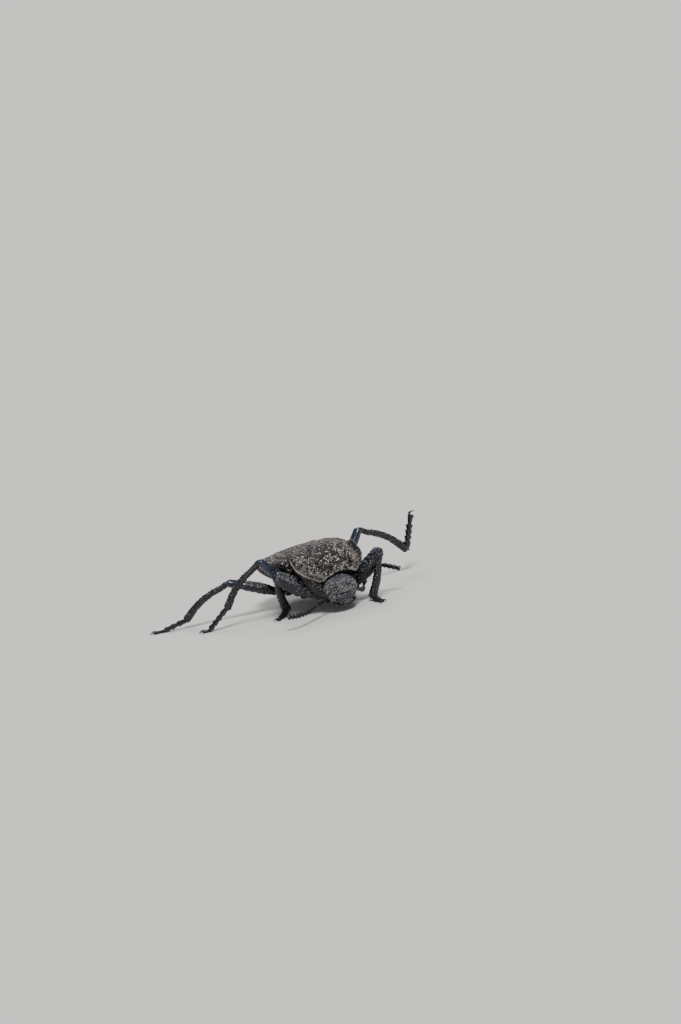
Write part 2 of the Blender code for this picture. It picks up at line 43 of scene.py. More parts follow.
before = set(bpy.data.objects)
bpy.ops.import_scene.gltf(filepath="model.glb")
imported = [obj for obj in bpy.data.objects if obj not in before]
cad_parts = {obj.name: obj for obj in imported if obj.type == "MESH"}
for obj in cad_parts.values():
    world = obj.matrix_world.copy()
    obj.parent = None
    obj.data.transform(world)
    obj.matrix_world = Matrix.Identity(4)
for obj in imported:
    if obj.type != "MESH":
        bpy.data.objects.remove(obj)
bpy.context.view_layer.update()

# Driving sizes, most of them shared with the solids. Lengths and places are in widths of the pronotum.
MM = 0.001
WIDTH = 13.0 * MM
STAND = 0.61
PRONOTUM_SLOPE = math.radians(38)
PRONOTUM_HALF = 0.272
BACK_GRAIN = 0.34       # millimetres
MARGIN_THICKNESS = 0.048
WIDEST = 0.36
DISC_EDGE = 0.80
GUTTER_FROM = 0.72
CASE_FRONT = -0.287
CASE_LENGTH = 1.36
CASE_HALF = 0.545
CASE_WIDEST = 0.5
CASE_FLOOR = -0.25
CASE_EDGE = 0.115
CASE_CROWN = 0.070
CASE_FALL = 0.25
SHOULDER = 0.66
SEAM_HALF = 0.001
WAIST_MIDDLE = (-0.28, 0, -0.14)
WAIST_HALF = (0.10, 0.43, 0.25)
HEAD_SLOPE = math.radians(62)
HEAD_TURN = math.radians(-7)
HEAD_CENTRE = (0.245, -0.055, -0.315)
HEAD_HALF = (0.120, 0.226, 0.195)
NECK_MIDDLE = (-0.08, 0.02, -0.06)
NECK_HALF = (0.14, 0.20, 0.16)
FEMUR = (0.71, 0.79, 0.80)
TIBIA = (0.66, 0.82, 0.82)
TARSUS = (0.34, 0.50, 0.52)
FEMUR_RADIUS = (0.107, 0.080, 0.076)
TIBIA_RADIUS = (0.044, 0.044, 0.044)
FEMUR_BOW = 0.015
TIBIA_BOW = (0.030, 0.070, 0.070)
TARSUS_RADIUS = 0.028
LEVEL_FROM = 0.78
SOLE_SHARE = 0.40
CLAW_LENGTH = 0.10
CLAW_RADIUS = 0.018
CLAW_ARCH = 0.022
CLAW_SPREAD = 0.42
SPUR_LENGTH = 0.075
ANTENNA_SHARES = (1.2, 0.5, 2.4, 1.4, 1.35, 1.3, 1.2, 1.0, 0.85, 0.75, 0.85)
ANTENNA_RADIUS = 0.030
ANTENNA_ROOT = 0.248
UPRIGHT = (0, 0, 1)

case_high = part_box("wing_case_left")[1]
shield_low, shield_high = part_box("pronotum")
MIDDLE = np.array([case_high[0] - CASE_FRONT * WIDTH, (shield_low[1] + shield_high[1]) / 2,
                   STAND * WIDTH])

LEGS = (
    # name, pair, body joint, ankle, side the knee bends to, toe, and the way a raised foot grips
    ("fore_left", 0, (0.02, 0.22, -0.43), (0.27, 0.36, -0.565), (0.44, 0.56, 0.03),
     (0.72, 0.33, -0.60), None),
    ("fore_right", 0, (0.02, -0.22, -0.43), (-0.59, -0.51, -0.555), (-0.29, -0.70, 0.0),
     (-0.32, -0.84, -0.60), None),
    ("middle_left", 1, (-0.50, 0.30, -0.42), (-0.69, 1.46, -0.32), (-0.64, 0.82, 0.26),
     (-0.69, 1.65, 0.13), (0.44, 0.87, -0.24)),
    ("middle_right", 1, (-0.50, -0.30, -0.42), (-0.94, -1.20, -0.34), (-0.48, -0.75, 0.30),
     (-1.20, -1.53, -0.60), None),
    ("hind_left", 2, (-1.02, 0.28, -0.42), (-2.12, 1.10, -0.50), (-1.54, 0.72, -0.22),
     (-2.52, 1.34, -0.60), None),
    ("hind_right", 2, (-1.02, -0.28, -0.42), (-1.80, -1.46, -0.50), (-1.36, -1.0, -0.16),
     (-2.10, -1.82, -0.60), None),
)

SIDES = (("left", 1), ("right", -1))

ANTENNAE = (
    ("left", 1, ((0.21, 0.21, -0.40), (0.12, 0.31, -0.465), (0.03, 0.40, -0.41), (0.02, 0.49, -0.31),
                 (0.075, 0.565, -0.235), (0.14, 0.645, -0.215), (0.27, 0.76, -0.27), (0.33, 0.83, -0.31))),
    ("right", -1, ((0.29, -0.42, -0.42), (0.37, -0.62, -0.45), (0.45, -0.80, -0.44),
                   (0.42, -0.97, -0.42))),
)


# Small maths

def at(places):
    """Places in widths from the pronotum's middle, turned to metres in the frame."""
    return np.asarray(places, dtype=float) * WIDTH + MIDDLE


def unit(vectors):
    """Vectors divided by their own lengths."""
    return vectors / np.maximum(np.linalg.norm(vectors, axis=-1, keepdims=True), 1e-12)


def head_place(depth, across, down):
    """Places on the head, in widths out of the face, to its left and down the face, in metres."""
    x = depth * math.sin(HEAD_SLOPE) + down * math.cos(HEAD_SLOPE)
    z = depth * math.cos(HEAD_SLOPE) - down * math.sin(HEAD_SLOPE)
    c, s = math.cos(HEAD_TURN), math.sin(HEAD_TURN)
    turned = np.stack([x * c - across * s, x * s + across * c, z], axis=-1)
    return at(turned + np.array(HEAD_CENTRE))


def scatter(cell, seed):
    """Three even random numbers from 0 to 1 for each whole-numbered cell, mixed from its place."""
    x, y, z = (cell[..., axis].astype(np.int64).astype(np.uint32) for axis in range(3))
    h = x * np.uint32(73856093) ^ y * np.uint32(19349663) ^ z * np.uint32(83492791)
    h = h ^ np.uint32((seed * 2654435761) & 0xFFFFFFFF)
    out = []
    for step in range(3):
        h = (h ^ (h >> np.uint32(15))) * np.uint32(2246822519)
        h = (h ^ (h >> np.uint32(13))) * np.uint32(3266489917)
        h = h ^ (h >> np.uint32(16))
        out.append((h & np.uint32(0xFFFFFF)).astype(float) / 0xFFFFFF)
    return np.stack(out, axis=-1)


def cells(points, size, seed):
    """Distance to the nearest scattered point, in cells of size millimetres, and its own number."""
    place = points / (size * MM)
    base = np.floor(place)
    near = np.full(place.shape[:-1], 9.0)
    mark = np.zeros(place.shape[:-1])
    for corner in itertools.product((-1, 0, 1), repeat=3):
        cell = base + np.array(corner)
        jitter = scatter(cell, seed)
        gap = np.linalg.norm(cell + 0.1 + 0.8 * jitter - place, axis=-1)
        closer = gap < near
        near = np.where(closer, gap, near)
        mark = np.where(closer, jitter[..., 0], mark)
    return near, mark


def drift(points, size, seed):
    """Smooth noise from 0 to 1: random numbers on a lattice of size millimetres, blended by cubics."""
    place = points / (size * MM)
    base = np.floor(place)
    part = place - base
    part = part * part * (3 - 2 * part)
    total = 0.0
    for corner in itertools.product((0, 1), repeat=3):
        weight = np.prod(np.where(corner, part, 1 - part), axis=-1)
        total = total + weight * scatter(base + np.array(corner), seed)[..., 0]
    return total


def granules(points, size, seed, share=0.9):
    """Round grains of size millimetres: a dome round a share of scattered points, and their numbers."""
    near, mark = cells(points, size, seed)
    reach = 0.42 + 0.22 * (mark * 7.3 % 1.0)
    dome = np.sqrt(np.clip(1 - (near / reach) ** 2, 0, 1))
    return dome * (mark < share), mark


def coat(grain, mark, bare):
    """How dust lies: dusty and bare grains at random, and thinner dust in the dips between them."""
    dusty = np.clip(((mark * 57.3 % 1.0) - bare) / 0.12 + 0.5, 0, 1)
    inside = np.clip(grain / 0.25, 0, 1)
    return inside * (0.10 + 0.90 * dusty) + (1 - inside) * 0.42


def spotted(grain, mark, turn, share):
    """Pale tops on a share of the grains, each with a strength of its own."""
    picked = (mark * turn % 1.0) < share
    return picked * ramped(grain, 0.66, 0.20) * (0.55 + 0.45 * (mark * 91.3 % 1.0))


def grid_normals(points):
    """Unit normals of closed rings of points: along the rings crossed with across them."""
    along = np.gradient(points, axis=0)
    around = (np.roll(points, -1, axis=1) - np.roll(points, 1, axis=1)) / 2
    normals = unit(np.cross(along, around))
    middle = points.mean(axis=1, keepdims=True)
    if np.mean(np.sum(normals * (points - middle), axis=-1)) < 0:
        normals = -normals
    return normals


def spaced(count, ease=0.0):
    """Numbers from 0 to 1, closer together at both ends as ease goes to 1."""
    even = np.linspace(0, 1, count)
    return (1 - ease) * even + ease * (1 - np.cos(np.pi * even)) / 2


def ramped(value, start, width):
    """0 up to a start, then a straight rise to 1 over a width."""
    return np.clip((value - start) / width, 0, 1)


def bell(value, place, width):
    """A bell curve: 1 at a place, and 1/e at a width from it."""
    return np.exp(-((value - place) / width) ** 2)


def rounded(u, share):
    """1 along a rod's middle, falling to 0 at both ends along a quarter circle."""
    near = np.clip(np.minimum(u, 1 - u) / share, 0, 1)
    return np.sqrt(np.clip(1 - (1 - near) ** 2, 0, 1))


def raised(points, normals, height):
    """Points moved out along their normals by heights in millimetres."""
    return points + normals * (height * MM)[..., None]


def spline(points, count):
    """Evenly spaced places on a smooth Catmull-Rom curve through a few points."""
    points = np.asarray(points)
    ends = np.concatenate([[2 * points[0] - points[1]], points, [2 * points[-1] - points[-2]]])
    step = np.linspace(0, 1, 24, endpoint=False)[:, None]
    spans = []
    for a, b, c, d in zip(ends, ends[1:], ends[2:], ends[3:]):
        spans.append(0.5 * (2 * b + (c - a) * step + (2 * a - 5 * b + 4 * c - d) * step ** 2
                            + (3 * b - a - 3 * c + d) * step ** 3))
    fine = np.concatenate(spans + [points[-1:]])
    length = np.concatenate([[0], np.cumsum(np.linalg.norm(np.diff(fine, axis=0), axis=1))])
    wanted = np.linspace(0, length[-1], count)
    return np.stack([np.interp(wanted, length, fine[:, axis]) for axis in range(3)], axis=1)


def along_path(path, share):
    """Places on a path of evenly spaced points, at shares of it from 0 to 1."""
    evenly = np.linspace(0, 1, len(path))
    return np.stack([np.interp(share, evenly, path[:, axis]) for axis in range(3)], axis=1)


def sweep(path, across, along_side, hint, around):
    """Rings carried along a path: an ellipse of two half widths, square to the path."""
    tangent = unit(np.gradient(path, axis=0))
    first = unit(np.cross(tangent, hint))
    second = np.cross(tangent, first)
    angle = np.linspace(0, 2 * np.pi, around, endpoint=False)[None, :, None]
    return (path[:, None, :] + first[:, None, :] * np.cos(angle) * across[:, None, None]
            + second[:, None, :] * np.sin(angle) * along_side[:, None, None])


# Meshes and objects

def place_piece(name, mesh, material):
    """Links a finished mesh as a smooth piece at the origin, riding on the one body."""
    mesh.shade_smooth()
    mesh.materials.append(MATERIALS[material])
    piece = bpy.data.objects.new(name, mesh)
    bpy.context.scene.collection.objects.link(piece)
    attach(piece, "root")
    return piece


def closed_skin(rings, start):
    """Quads and end fans that close rings of points, the first of them numbered start.

    The fans meet at the middles of the first and last ring, which are numbered after the rings.
    The faces turn round where their areas, summed along the way out, point inward.
    """
    rows, columns = rings.shape[:2]
    index = start + np.arange(rows * columns).reshape(rows, columns)
    right = np.roll(index, -1, axis=1)
    quads = np.stack([index[:-1], right[:-1], right[1:], index[1:]], axis=-1).reshape(-1, 4)
    tip = np.full(columns, start + rows * columns)
    fans = np.concatenate([np.stack([right[0], index[0], tip], axis=1),
                           np.stack([index[-1], right[-1], tip + 1], axis=1)])
    around = np.roll(rings, -1, axis=1)
    flux = np.cross(around[:-1] - rings[:-1], rings[1:] - rings[:-1])
    if np.sum(flux * (rings[:-1] - rings.mean(axis=(0, 1)))) < 0:
        quads, fans = quads[:, ::-1], fans[:, ::-1]
    return quads, fans


def make_piece(name, skins, material, nodes=()):
    """Makes one object from closed skins, each its rings and its values; it stands for the solids."""
    points, quads, fans, values, count = [], [], [], {}, 0
    for rings, named in skins:
        skin_quads, skin_fans = closed_skin(rings, count)
        quads.append(skin_quads)
        fans.append(skin_fans)
        points += [rings.reshape(-1, 3), rings[:1].mean(axis=1), rings[-1:].mean(axis=1)]
        count += rings.shape[0] * rings.shape[1] + 2
        for label, value in named.items():
            grid = np.broadcast_to(value, rings.shape[:2])
            flat = np.concatenate([grid.ravel(), [grid[0].mean(), grid[-1].mean()]])
            values.setdefault(label, []).append(flat)
    quads, fans, points = map(np.concatenate, (quads, fans, points))
    loops = np.concatenate([quads.ravel(), fans.ravel()])
    starts = np.concatenate([np.arange(len(quads)) * 4, len(quads) * 4 + np.arange(len(fans)) * 3])
    mesh = bpy.data.meshes.new(name)
    mesh.vertices.add(len(points))
    mesh.vertices.foreach_set("co", points.astype(np.float32).ravel())
    mesh.loops.add(len(loops))
    mesh.loops.foreach_set("vertex_index", loops.astype(np.int32))
    mesh.polygons.add(len(starts))
    mesh.polygons.foreach_set("loop_start", starts.astype(np.int32))
    mesh.update(calc_edges=True)
    for label, value in values.items():
        layer = mesh.attributes.new(label, "FLOAT", "POINT")
        layer.data.foreach_set("value", np.concatenate(value).astype(np.float32))
    mesh.validate(clean_customdata=False)
    piece = place_piece(name, mesh, material)
    if nodes:
        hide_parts(*nodes)


# Materials

CHITIN_IOR = 1.54
DUST_ROUGHNESS = 0.92
DUST_GRAIN = 0.09        # millimetres
EYE_LENS = 0.055         # millimetres
# Near-black painted shade laid into the pits between the grains.
PAINTED_PIT_SHADE = "#040406"
# Paler blue painted sheen on the smooth joint ends.
PAINTED_JOINT_SHEEN = "#262c40"


def linear(code):
    """An sRGB hex colour as linear red, green, blue and alpha."""
    parts = [int(code[i:i + 2], 16) / 255 for i in (1, 3, 5)]
    return [p / 12.92 if p <= 0.04045 else ((p + 0.055) / 1.055) ** 2.4 for p in parts] + [1.0]


def add_node(tree, kind, settings=None, inputs=None, links=None):
    """Adds a node with its settings, its input values, and links as input name to output socket."""
    node = tree.nodes.new(kind)
    for key, value in (settings or {}).items():
        setattr(node, key, value)
    for key, value in (inputs or {}).items():
        node.inputs[key].default_value = value
    for key, socket in (links or {}).items():
        tree.links.new(socket, node.inputs[key])
    return node


def new_material(name):
    """An empty material with its shader, and the coordinates of the piece."""
    made = bpy.data.materials.new(name)
    made.use_nodes = True
    tree = made.node_tree
    tree.nodes.clear()
    shader = add_node(tree, "ShaderNodeBsdfPrincipled")
    shader.inputs["IOR"].default_value = CHITIN_IOR
    add_node(tree, "ShaderNodeOutputMaterial", links={"Surface": shader.outputs["BSDF"]})
    return made, tree, shader, add_node(tree, "ShaderNodeTexCoord").outputs["Object"]


def spread(tree, factor, low, high, to_low=0.0, to_high=1.0):
    """Carries a range of a value over to another range in a straight line, and clamps it."""
    return add_node(tree, "ShaderNodeMapRange", {"clamp": True},
                    {"From Min": low, "From Max": high, "To Min": to_low, "To Max": to_high},
                    {"Value": factor}).outputs["Result"]


def fill(tree, socket, value):
    """Sets a socket from a number or a hex colour, or links it."""
    if isinstance(value, str):
        socket.default_value = linear(value)
    elif isinstance(value, (int, float)):
        socket.default_value = value
    else:
        tree.links.new(value, socket)


def mix_color(tree, factor, first, second):
    """Blends two colours, each a hex code or a socket."""
    node = add_node(tree, "ShaderNodeMix", {"data_type": "RGBA"}, links={"Factor": factor})
    fill(tree, node.inputs[6], first)
    fill(tree, node.inputs[7], second)
    return node.outputs[2]


def math_node(tree, operation, first, second):
    """One sum on two numbers or sockets, clamped from 0 to 1."""
    node = add_node(tree, "ShaderNodeMath", {"operation": operation, "use_clamp": True})
    fill(tree, node.inputs[0], first)
    fill(tree, node.inputs[1], second)
    return node.outputs[0]


def noise(tree, coordinates, spacing, detail=3.0):
    """Noise whose blotches are about spacing millimetres across."""
    return add_node(tree, "ShaderNodeTexNoise", inputs={"Scale": 1 / (spacing * MM), "Detail": detail},
                    links={"Vector": coordinates}).outputs["Fac"]


def add_bump(tree, height, strength, depth, below=None, invert=False):
    """Bends the normals by a height of up to depth millimetres, over other bent normals."""
    links = {"Height": height}
    if below is not None:
        links["Normal"] = below
    return add_node(tree, "ShaderNodeBump", {"invert": invert},
                    {"Strength": strength, "Distance": depth * MM}, links).outputs["Normal"]


def cuticle(name, shell, wear_and_sheen, dust, dusting, gloss, shine):
    """Beetle shell: hard black chitin, shiny where rubbed on the grains' tops, dust in between.

    The attributes crest (height of a grain), dust (how much settles), speck (a pale grain) and
    polish (a smooth joint) come with each mesh. Dust covers the black where what settles, times
    two noises, passes a threshold; it also makes the shell rough. The pits get a painted shade,
    and the smooth joints a paler blue as a painted sheen.
    """
    made, tree, shader, place = new_material(name)
    crest, settle, speck, polish = [
        add_node(tree, "ShaderNodeAttribute", {"attribute_name": label}).outputs["Fac"]
        for label in ("crest", "dust", "speck", "polish")]

    def times(first, second):
        """A product, clamped."""
        return math_node(tree, "MULTIPLY", first, second)

    def rest(value):
        """1 less a value."""
        return math_node(tree, "SUBTRACT", 1.0, value)

    patch = noise(tree, place, 1.6, 4.0)
    fine = noise(tree, place, DUST_GRAIN, 4.0)
    middling = noise(tree, place, 0.34)
    pit = times(rest(crest), rest(polish))
    rubbed = times(crest, 0.15)
    # The second tone, mixed in patches, is wear on most pieces; on the face both tones are lightened as a
    # painted sheen.
    black = mix_color(tree, spread(tree, patch, 0.35, 0.70), shell, wear_and_sheen)
    # Painted shade: the pits between the grains are darkened towards near-black.
    black = mix_color(tree, times(pit, 0.8), black, PAINTED_PIT_SHADE)
    lying = times(times(settle, dusting), rest(rubbed))
    broken = math_node(tree, "ADD", times(spread(tree, fine, 0.32, 0.68), 0.40),
                       times(spread(tree, middling, 0.32, 0.68), 0.45))
    cover = spread(tree, times(lying, math_node(tree, "ADD", broken, 0.45)), 0.28, 0.58)
    tone = mix_color(tree, spread(tree, patch, 0.40, 0.62), dust[0], dust[1])
    pale = times(speck, spread(tree, fine, 0.28, 0.46))
    color = mix_color(tree, pale, mix_color(tree, cover, black, tone), dust[2])
    # Painted sheen: the smooth joint ends are tinted a paler blue, standing in for their highlight.
    color = mix_color(tree, times(polish, 0.85), color, PAINTED_JOINT_SHEEN)
    tree.links.new(color, shader.inputs["Base Color"])
    dull = math_node(tree, "MAXIMUM", math_node(tree, "MAXIMUM", cover, pale), times(pit, 0.35))
    rough = times(spread(tree, dull, 0.0, 1.0, gloss, DUST_ROUGHNESS),
                  math_node(tree, "SUBTRACT", 1.1, rubbed))
    tree.links.new(times(rough, rest(times(polish, 0.30))), shader.inputs["Roughness"])
    shader.inputs["Specular IOR Level"].default_value = shine
    grain = add_bump(tree, times(fine, rest(polish)), 0.55, 0.04)
    tree.links.new(add_bump(tree, cover, 0.5, 0.06, grain), shader.inputs["Normal"])
    return made


def plain_gloss(name, dark, light, roughness, spacing, depth, coat=0.0):
    """A smooth hard surface with a faint change of tone and a fine skin of the given depth."""
    made, tree, shader, place = new_material(name)
    cloud = noise(tree, place, 0.9)
    skin = noise(tree, place, spacing)
    tree.links.new(mix_color(tree, spread(tree, cloud, 0.35, 0.65), dark, light),
                   shader.inputs["Base Color"])
    tree.links.new(spread(tree, skin, 0.3, 0.7, roughness * 0.75, roughness * 1.35),
                   shader.inputs["Roughness"])
    shader.inputs["Coat Weight"].default_value = coat
    tree.links.new(add_bump(tree, skin, 0.5, depth), shader.inputs["Normal"])
    return made


def eye_material():
    """A compound eye: hundreds of tiny domed lenses, black-brown and glassy."""
    made, tree, shader, place = new_material("compound_eye_facets")
    lens = add_node(tree, "ShaderNodeTexVoronoi", {"feature": "F1"},
                    {"Scale": 1 / (EYE_LENS * MM), "Randomness": 0.25},
                    {"Vector": place}).outputs["Distance"]
    tree.links.new(mix_color(tree, spread(tree, lens, 0.2, 0.7), "#241c19", "#070606"),
                   shader.inputs["Base Color"])
    shader.inputs["Roughness"].default_value = 0.16
    tree.links.new(add_bump(tree, lens, 0.8, 0.03, invert=True), shader.inputs["Normal"])
    return made


MATERIALS = {}


def make_materials(colors):
    """Every finish on the animal, made once from the colours in the panel."""
    dust = (colors.dust_dark, colors.dust_light, colors.speck)
    # Back plates: rough black chitin that holds a coat of tan-grey dust between its grains.
    MATERIALS["back"] = cuticle("dusted_back_chitin", colors.shell, "#1a1c26", dust, 1.0, 0.40, 0.22)
    # Face: the same chitin with its bare tones lightened to a cool grey as a painted sheen, its grains
    # finer and its dust thinner.
    bloom = ("#6a686c", "#8f8b8f", "#dcd8d3")
    MATERIALS["face"] = cuticle("face_chitin_painted_sheen", "#28282f", "#46474f", bloom, 1.0, 0.36, 0.35)
    # Flanks and underside: the same chitin with less dust, dull and blue-black.
    MATERIALS["flank"] = cuticle("flank_chitin", colors.shell, "#202229", dust, 0.9, 0.34, 0.4)
    # Legs: grainy chitin rubbed to a satin shine on the grains.
    haze = ("#55565d", "#777881", "#c3c7d4")
    MATERIALS["leg"] = cuticle("grainy_leg_chitin", "#06070b", "#1a2136", haze, 0.74, 0.16, 0.58)
    # Joints: polished chitin, smooth and blue-black where leg parts slide on each other.
    MATERIALS["joint"] = plain_gloss("polished_joint_chitin", "#10131b", "#1f2532", 0.24, 0.10, 0.008, 0.25)
    # Mouthparts: thinner chitin, which lets a dark red-brown through.
    MATERIALS["mouth"] = plain_gloss("rusty_mouth_chitin", "#150c08", "#2e1911", 0.34, 0.08, 0.010)
    # Claws and bristles: solid horn-like chitin, dark amber.
    MATERIALS["claw"] = plain_gloss("amber_claw_chitin", "#140d0a", "#2b1a12", 0.28, 0.06, 0.005)
    MATERIALS["bristle"] = plain_gloss("bristle_chitin", "#2a1d14", "#57412c", 0.40, 0.05, 0.003)
    MATERIALS["eye"] = eye_material()


# The pronotum

def shield_half_width(s):
    """Half the shield's width, s 0 at its base to 1 at its front: a quarter sine, then a power curve."""
    rear = 0.478 + 0.022 * np.sin(np.clip(s / WIDEST, 0, 1) * math.pi / 2)
    front = 0.5 - 0.218 * ramped(s, WIDEST, 1 - WIDEST) ** 1.75
    return np.where(s < WIDEST, rear, front)


def shield_turn(along, lift):
    """Distances forward and up, in widths, from those along the sloping shield and off it."""
    return (along * math.cos(PRONOTUM_SLOPE) + lift * math.sin(PRONOTUM_SLOPE),
            -along * math.sin(PRONOTUM_SLOPE) + lift * math.cos(PRONOTUM_SLOPE))


def shield_place(s, t, lift):
    """A place on the shield: s base to front, t right to left, lift off its plane, in widths."""
    along = PRONOTUM_HALF * (2 * s - 1)
    along = along - 0.015 * (1 - t ** 2) * np.clip(1 - 3 * s, 0, 1)
    along = along - 0.012 * (1 - t ** 2) * np.clip(3 * s - 2, 0, 1)
    x, z = shield_turn(along, lift)
    return at(np.stack([x, t * shield_half_width(s), z], axis=-1))


def shield_zones(t):
    """Shares from 0 to 1 of the way over the disc, and over the gutter outside it."""
    return np.clip(np.abs(t) / DISC_EDGE, 0, 1), ramped(np.abs(t), GUTTER_FROM, 1 - GUTTER_FROM)


def shield_lift(s, t):
    """The shield's own height: a low crown, a gutter inside each margin, and a raised rim."""
    crown = 0.035 + 0.100 * np.sin(math.pi * s ** 0.9) + 0.05 * s
    disc, gutter = shield_zones(t)
    rim = 0.010 * bell(np.abs(t), 0.975, 0.018)
    folds = 0.006 * np.sin(s * 46 + 9 * np.abs(t)) * np.sin(math.pi * gutter)
    border = 0.010 * bell(s, 0.985, 0.012) + 0.008 * bell(s, 0.012, 0.012)
    return (crown * (1 - disc ** 2.4) - 0.018 * np.sin(math.pi * gutter) + 0.012 * gutter
            + rim + folds + border)


def shield_rings(rows, top_count, low_count):
    """The shield as rings, over its top and back under it; its edges close as quarter circles."""
    s = spaced(rows, 0.5)[:, None]
    over = np.cos(np.pi * spaced(top_count + 1, -0.35)[:-1])
    under = -np.cos(np.pi * spaced(low_count + 1, 0.0)[:-1])
    t = np.concatenate([over, under])[None, :]
    is_top = np.concatenate([np.ones(top_count), np.zeros(low_count)])[None, :]
    disc, gutter = shield_zones(t)
    top = shield_lift(s, t)
    low = -MARGIN_THICKNESS * (1 + 0.8 * (1 - disc ** 4)) + 0.010 * gutter
    middle = (top + low) / 2
    edge = np.sqrt(np.clip(1 - ramped(np.abs(t), 0.985, 0.015) ** 2, 0, 1))
    ends = rounded(s, 0.02)
    lift = middle + (np.where(is_top > 0.5, top, low) - middle) * edge * ends
    return s, t, is_top, shield_place(s, t, lift)


def shield_surface():
    """The shield with coarse grains over the disc, finer ones on the margins and none below."""
    s, t, is_top, points = shield_rings(210, 330, 70)
    normals = grid_normals(points)
    big, mark = granules(points, BACK_GRAIN, 11, 0.88)
    small, small_mark = granules(points, 0.23, 12, 0.78)
    wide = drift(points, 1.3, 13)
    centre = np.clip(1.15 - np.abs(t) ** 3, 0, 1)
    height = np.maximum(big * centre, 0.55 * small)
    ends = rounded(s, 0.03) * is_top
    points = raised(points, normals, (height * 0.17 + (wide - 0.5) * 0.16) * ends)
    front = ramped(s, 0.74, 0.18)
    margin = 0.45 * bell(np.abs(t), 0.74, 0.11) - 0.20 * bell(np.abs(t), 0.92, 0.05)
    bare = 0.71 - 0.40 * front - margin - 0.45 * (drift(points, 2.6, 15) - 0.5)
    lying = np.where(big * centre > 0.55 * small, coat(big, mark, bare), coat(small, small_mark, bare))
    band = 1.4 * bell(np.abs(t), 0.985, 0.008) + bell(s, 0.978, 0.006)
    speck = spotted(big, mark, 31.7, 0.34) * centre
    speck = np.maximum(speck, 0.30 * band) * is_top * np.clip((0.985 - s) / 0.01, 0, 1)
    lying = lying * np.clip((0.994 - s) / 0.006, 0, 1)
    settle = is_top * lying * (0.75 + 0.5 * drift(points, 2.1, 14)) + 0.2 * (1 - is_top)
    return points, {"crest": height * is_top, "dust": settle, "speck": speck}


# The wing cases

def case_half_width(s):
    """Half the wing cases' width, s 0 at their front to 1 at their tip: a parabola, then an oval."""
    front = CASE_HALF - 0.065 * np.clip(1 - s / CASE_WIDEST, 0, 1) ** 2.0
    rear = CASE_HALF * np.sqrt(np.clip(1 - ramped(s, CASE_WIDEST, 1 - CASE_WIDEST) ** 2.6, 0, 1))
    return np.where(s < CASE_WIDEST, front, rear)


def case_heights(s):
    """Heights of the shoulder edge, of the crown over it, and of the flanks' lower edge."""
    fall = ramped(s, 0.20, 0.80)
    front_drop = 0.05 * (1 - np.sin(np.clip(s / 0.10, 0, 1) * math.pi / 2))
    edge = CASE_EDGE - CASE_FALL * fall ** 2.4 - front_drop
    crown = CASE_CROWN * np.sqrt(np.clip(1 - fall ** 2.6, 0, 1)) + 0.005
    bottom_edge = np.minimum(CASE_FLOOR + 0.03 * fall, edge - 0.12)
    return edge, crown, bottom_edge


def case_section(s, t, side):
    """One wing case's outer skin: s front to tip, t from the seam over the edge to the flank.

    Its section is a quarter ellipse over the back and a power curve down the flank.
    """
    half = case_half_width(s)
    edge, crown, low = case_heights(s)
    over = np.clip(t / SHOULDER, 0, 1)
    down = ramped(t, SHOULDER, 1 - SHOULDER)
    y = half * np.sin(over * math.pi / 2) * (1 - 0.38 * down ** 1.9) + SEAM_HALF
    z = edge + crown * np.cos(over * math.pi / 2) ** 1.15 + (low - edge) * down ** 1.1
    x = CASE_FRONT - CASE_LENGTH * s - 0.03 * (1 - over) * np.clip(1 - 4 * s, 0, 1)
    return np.stack([x, side * y, z], axis=-1)


def case_surface(side):
    """One wing case: grains, ribs, and beads on the seam and the edge, each bead a bell curve across t."""
    rows, outer, inner = 400, 210, 14
    s = (1 - (1 - np.linspace(0, 1, rows)) ** 1.25)[:, None] * 0.998
    t = spaced(outer, 0.15)[None, :]
    skin = case_section(s, t, side)
    start, stop = skin[:, -1:, :], skin[:, :1, :]
    share = np.linspace(0, 1, inner + 2)[None, 1:-1, None]
    under = start + (stop - start) * share
    under[..., 2] = start[..., 2] - 0.02
    points = at(np.concatenate([skin, under], axis=1))
    normals = grid_normals(points)
    wide_t = np.concatenate([np.broadcast_to(t, (1, outer)), np.ones((1, inner))], axis=1)
    is_out = np.concatenate([np.ones((1, outer)), np.zeros((1, inner))], axis=1)
    big, mark = granules(points, BACK_GRAIN, 21 + side, 0.80)
    small, small_mark = granules(points, 0.22, 31 + side, 0.85)
    height = np.maximum(big, 0.6 * small) * is_out
    ribs = sum(bell(wide_t, place, 0.022) for place in (0.20, 0.38, 0.54))
    ridge = bell(wide_t, 0.66, 0.020)
    seam = bell(wide_t, 0.035, 0.025) - 2.4 * bell(wide_t, 0, 0.012)
    fade = np.clip(1 - s, 0, 1) ** 0.5 * rounded(s, 0.01)
    wide = drift(points, 1.5, 22 + side) - 0.5
    lift = (0.12 * height + 0.11 * ribs + 0.16 * ridge + 0.06 * seam + 0.12 * wide) * is_out * fade
    points = raised(points, normals, lift)
    out = np.maximum(side * (points[..., 1] - MIDDLE[1]), SEAM_HALF * WIDTH)
    out[:, 0] = SEAM_HALF * WIDTH
    points[..., 1] = MIDDLE[1] + side * out
    up = np.clip(1.20 - 0.78 * ramped(wide_t, 0.60, 0.25), 0, 1)
    bare = 0.62 - 0.3 * (drift(points, 2.0, 24 + side) - 0.5)
    lying = np.where(big > 0.6 * small, coat(big, mark, bare), coat(small, small_mark, bare))
    settle = 0.9 * is_out * up * lying * (0.8 + 0.4 * drift(points, 2.4, 23 + side))
    speck = spotted(big, mark, 41.3, 0.24) * is_out * up
    return points, {"crest": height, "dust": settle, "speck": speck}


# The underside

def rounded_block(top, low, grain, seed):
    """A block's grainy rings, over a flat roof and back along the belly: points, normals, grains."""
    points = at(np.concatenate([top[:, ::-1], low[:, 1:-1]], axis=1))
    return (points, grid_normals(points)) + granules(points, grain, seed, 0.8)


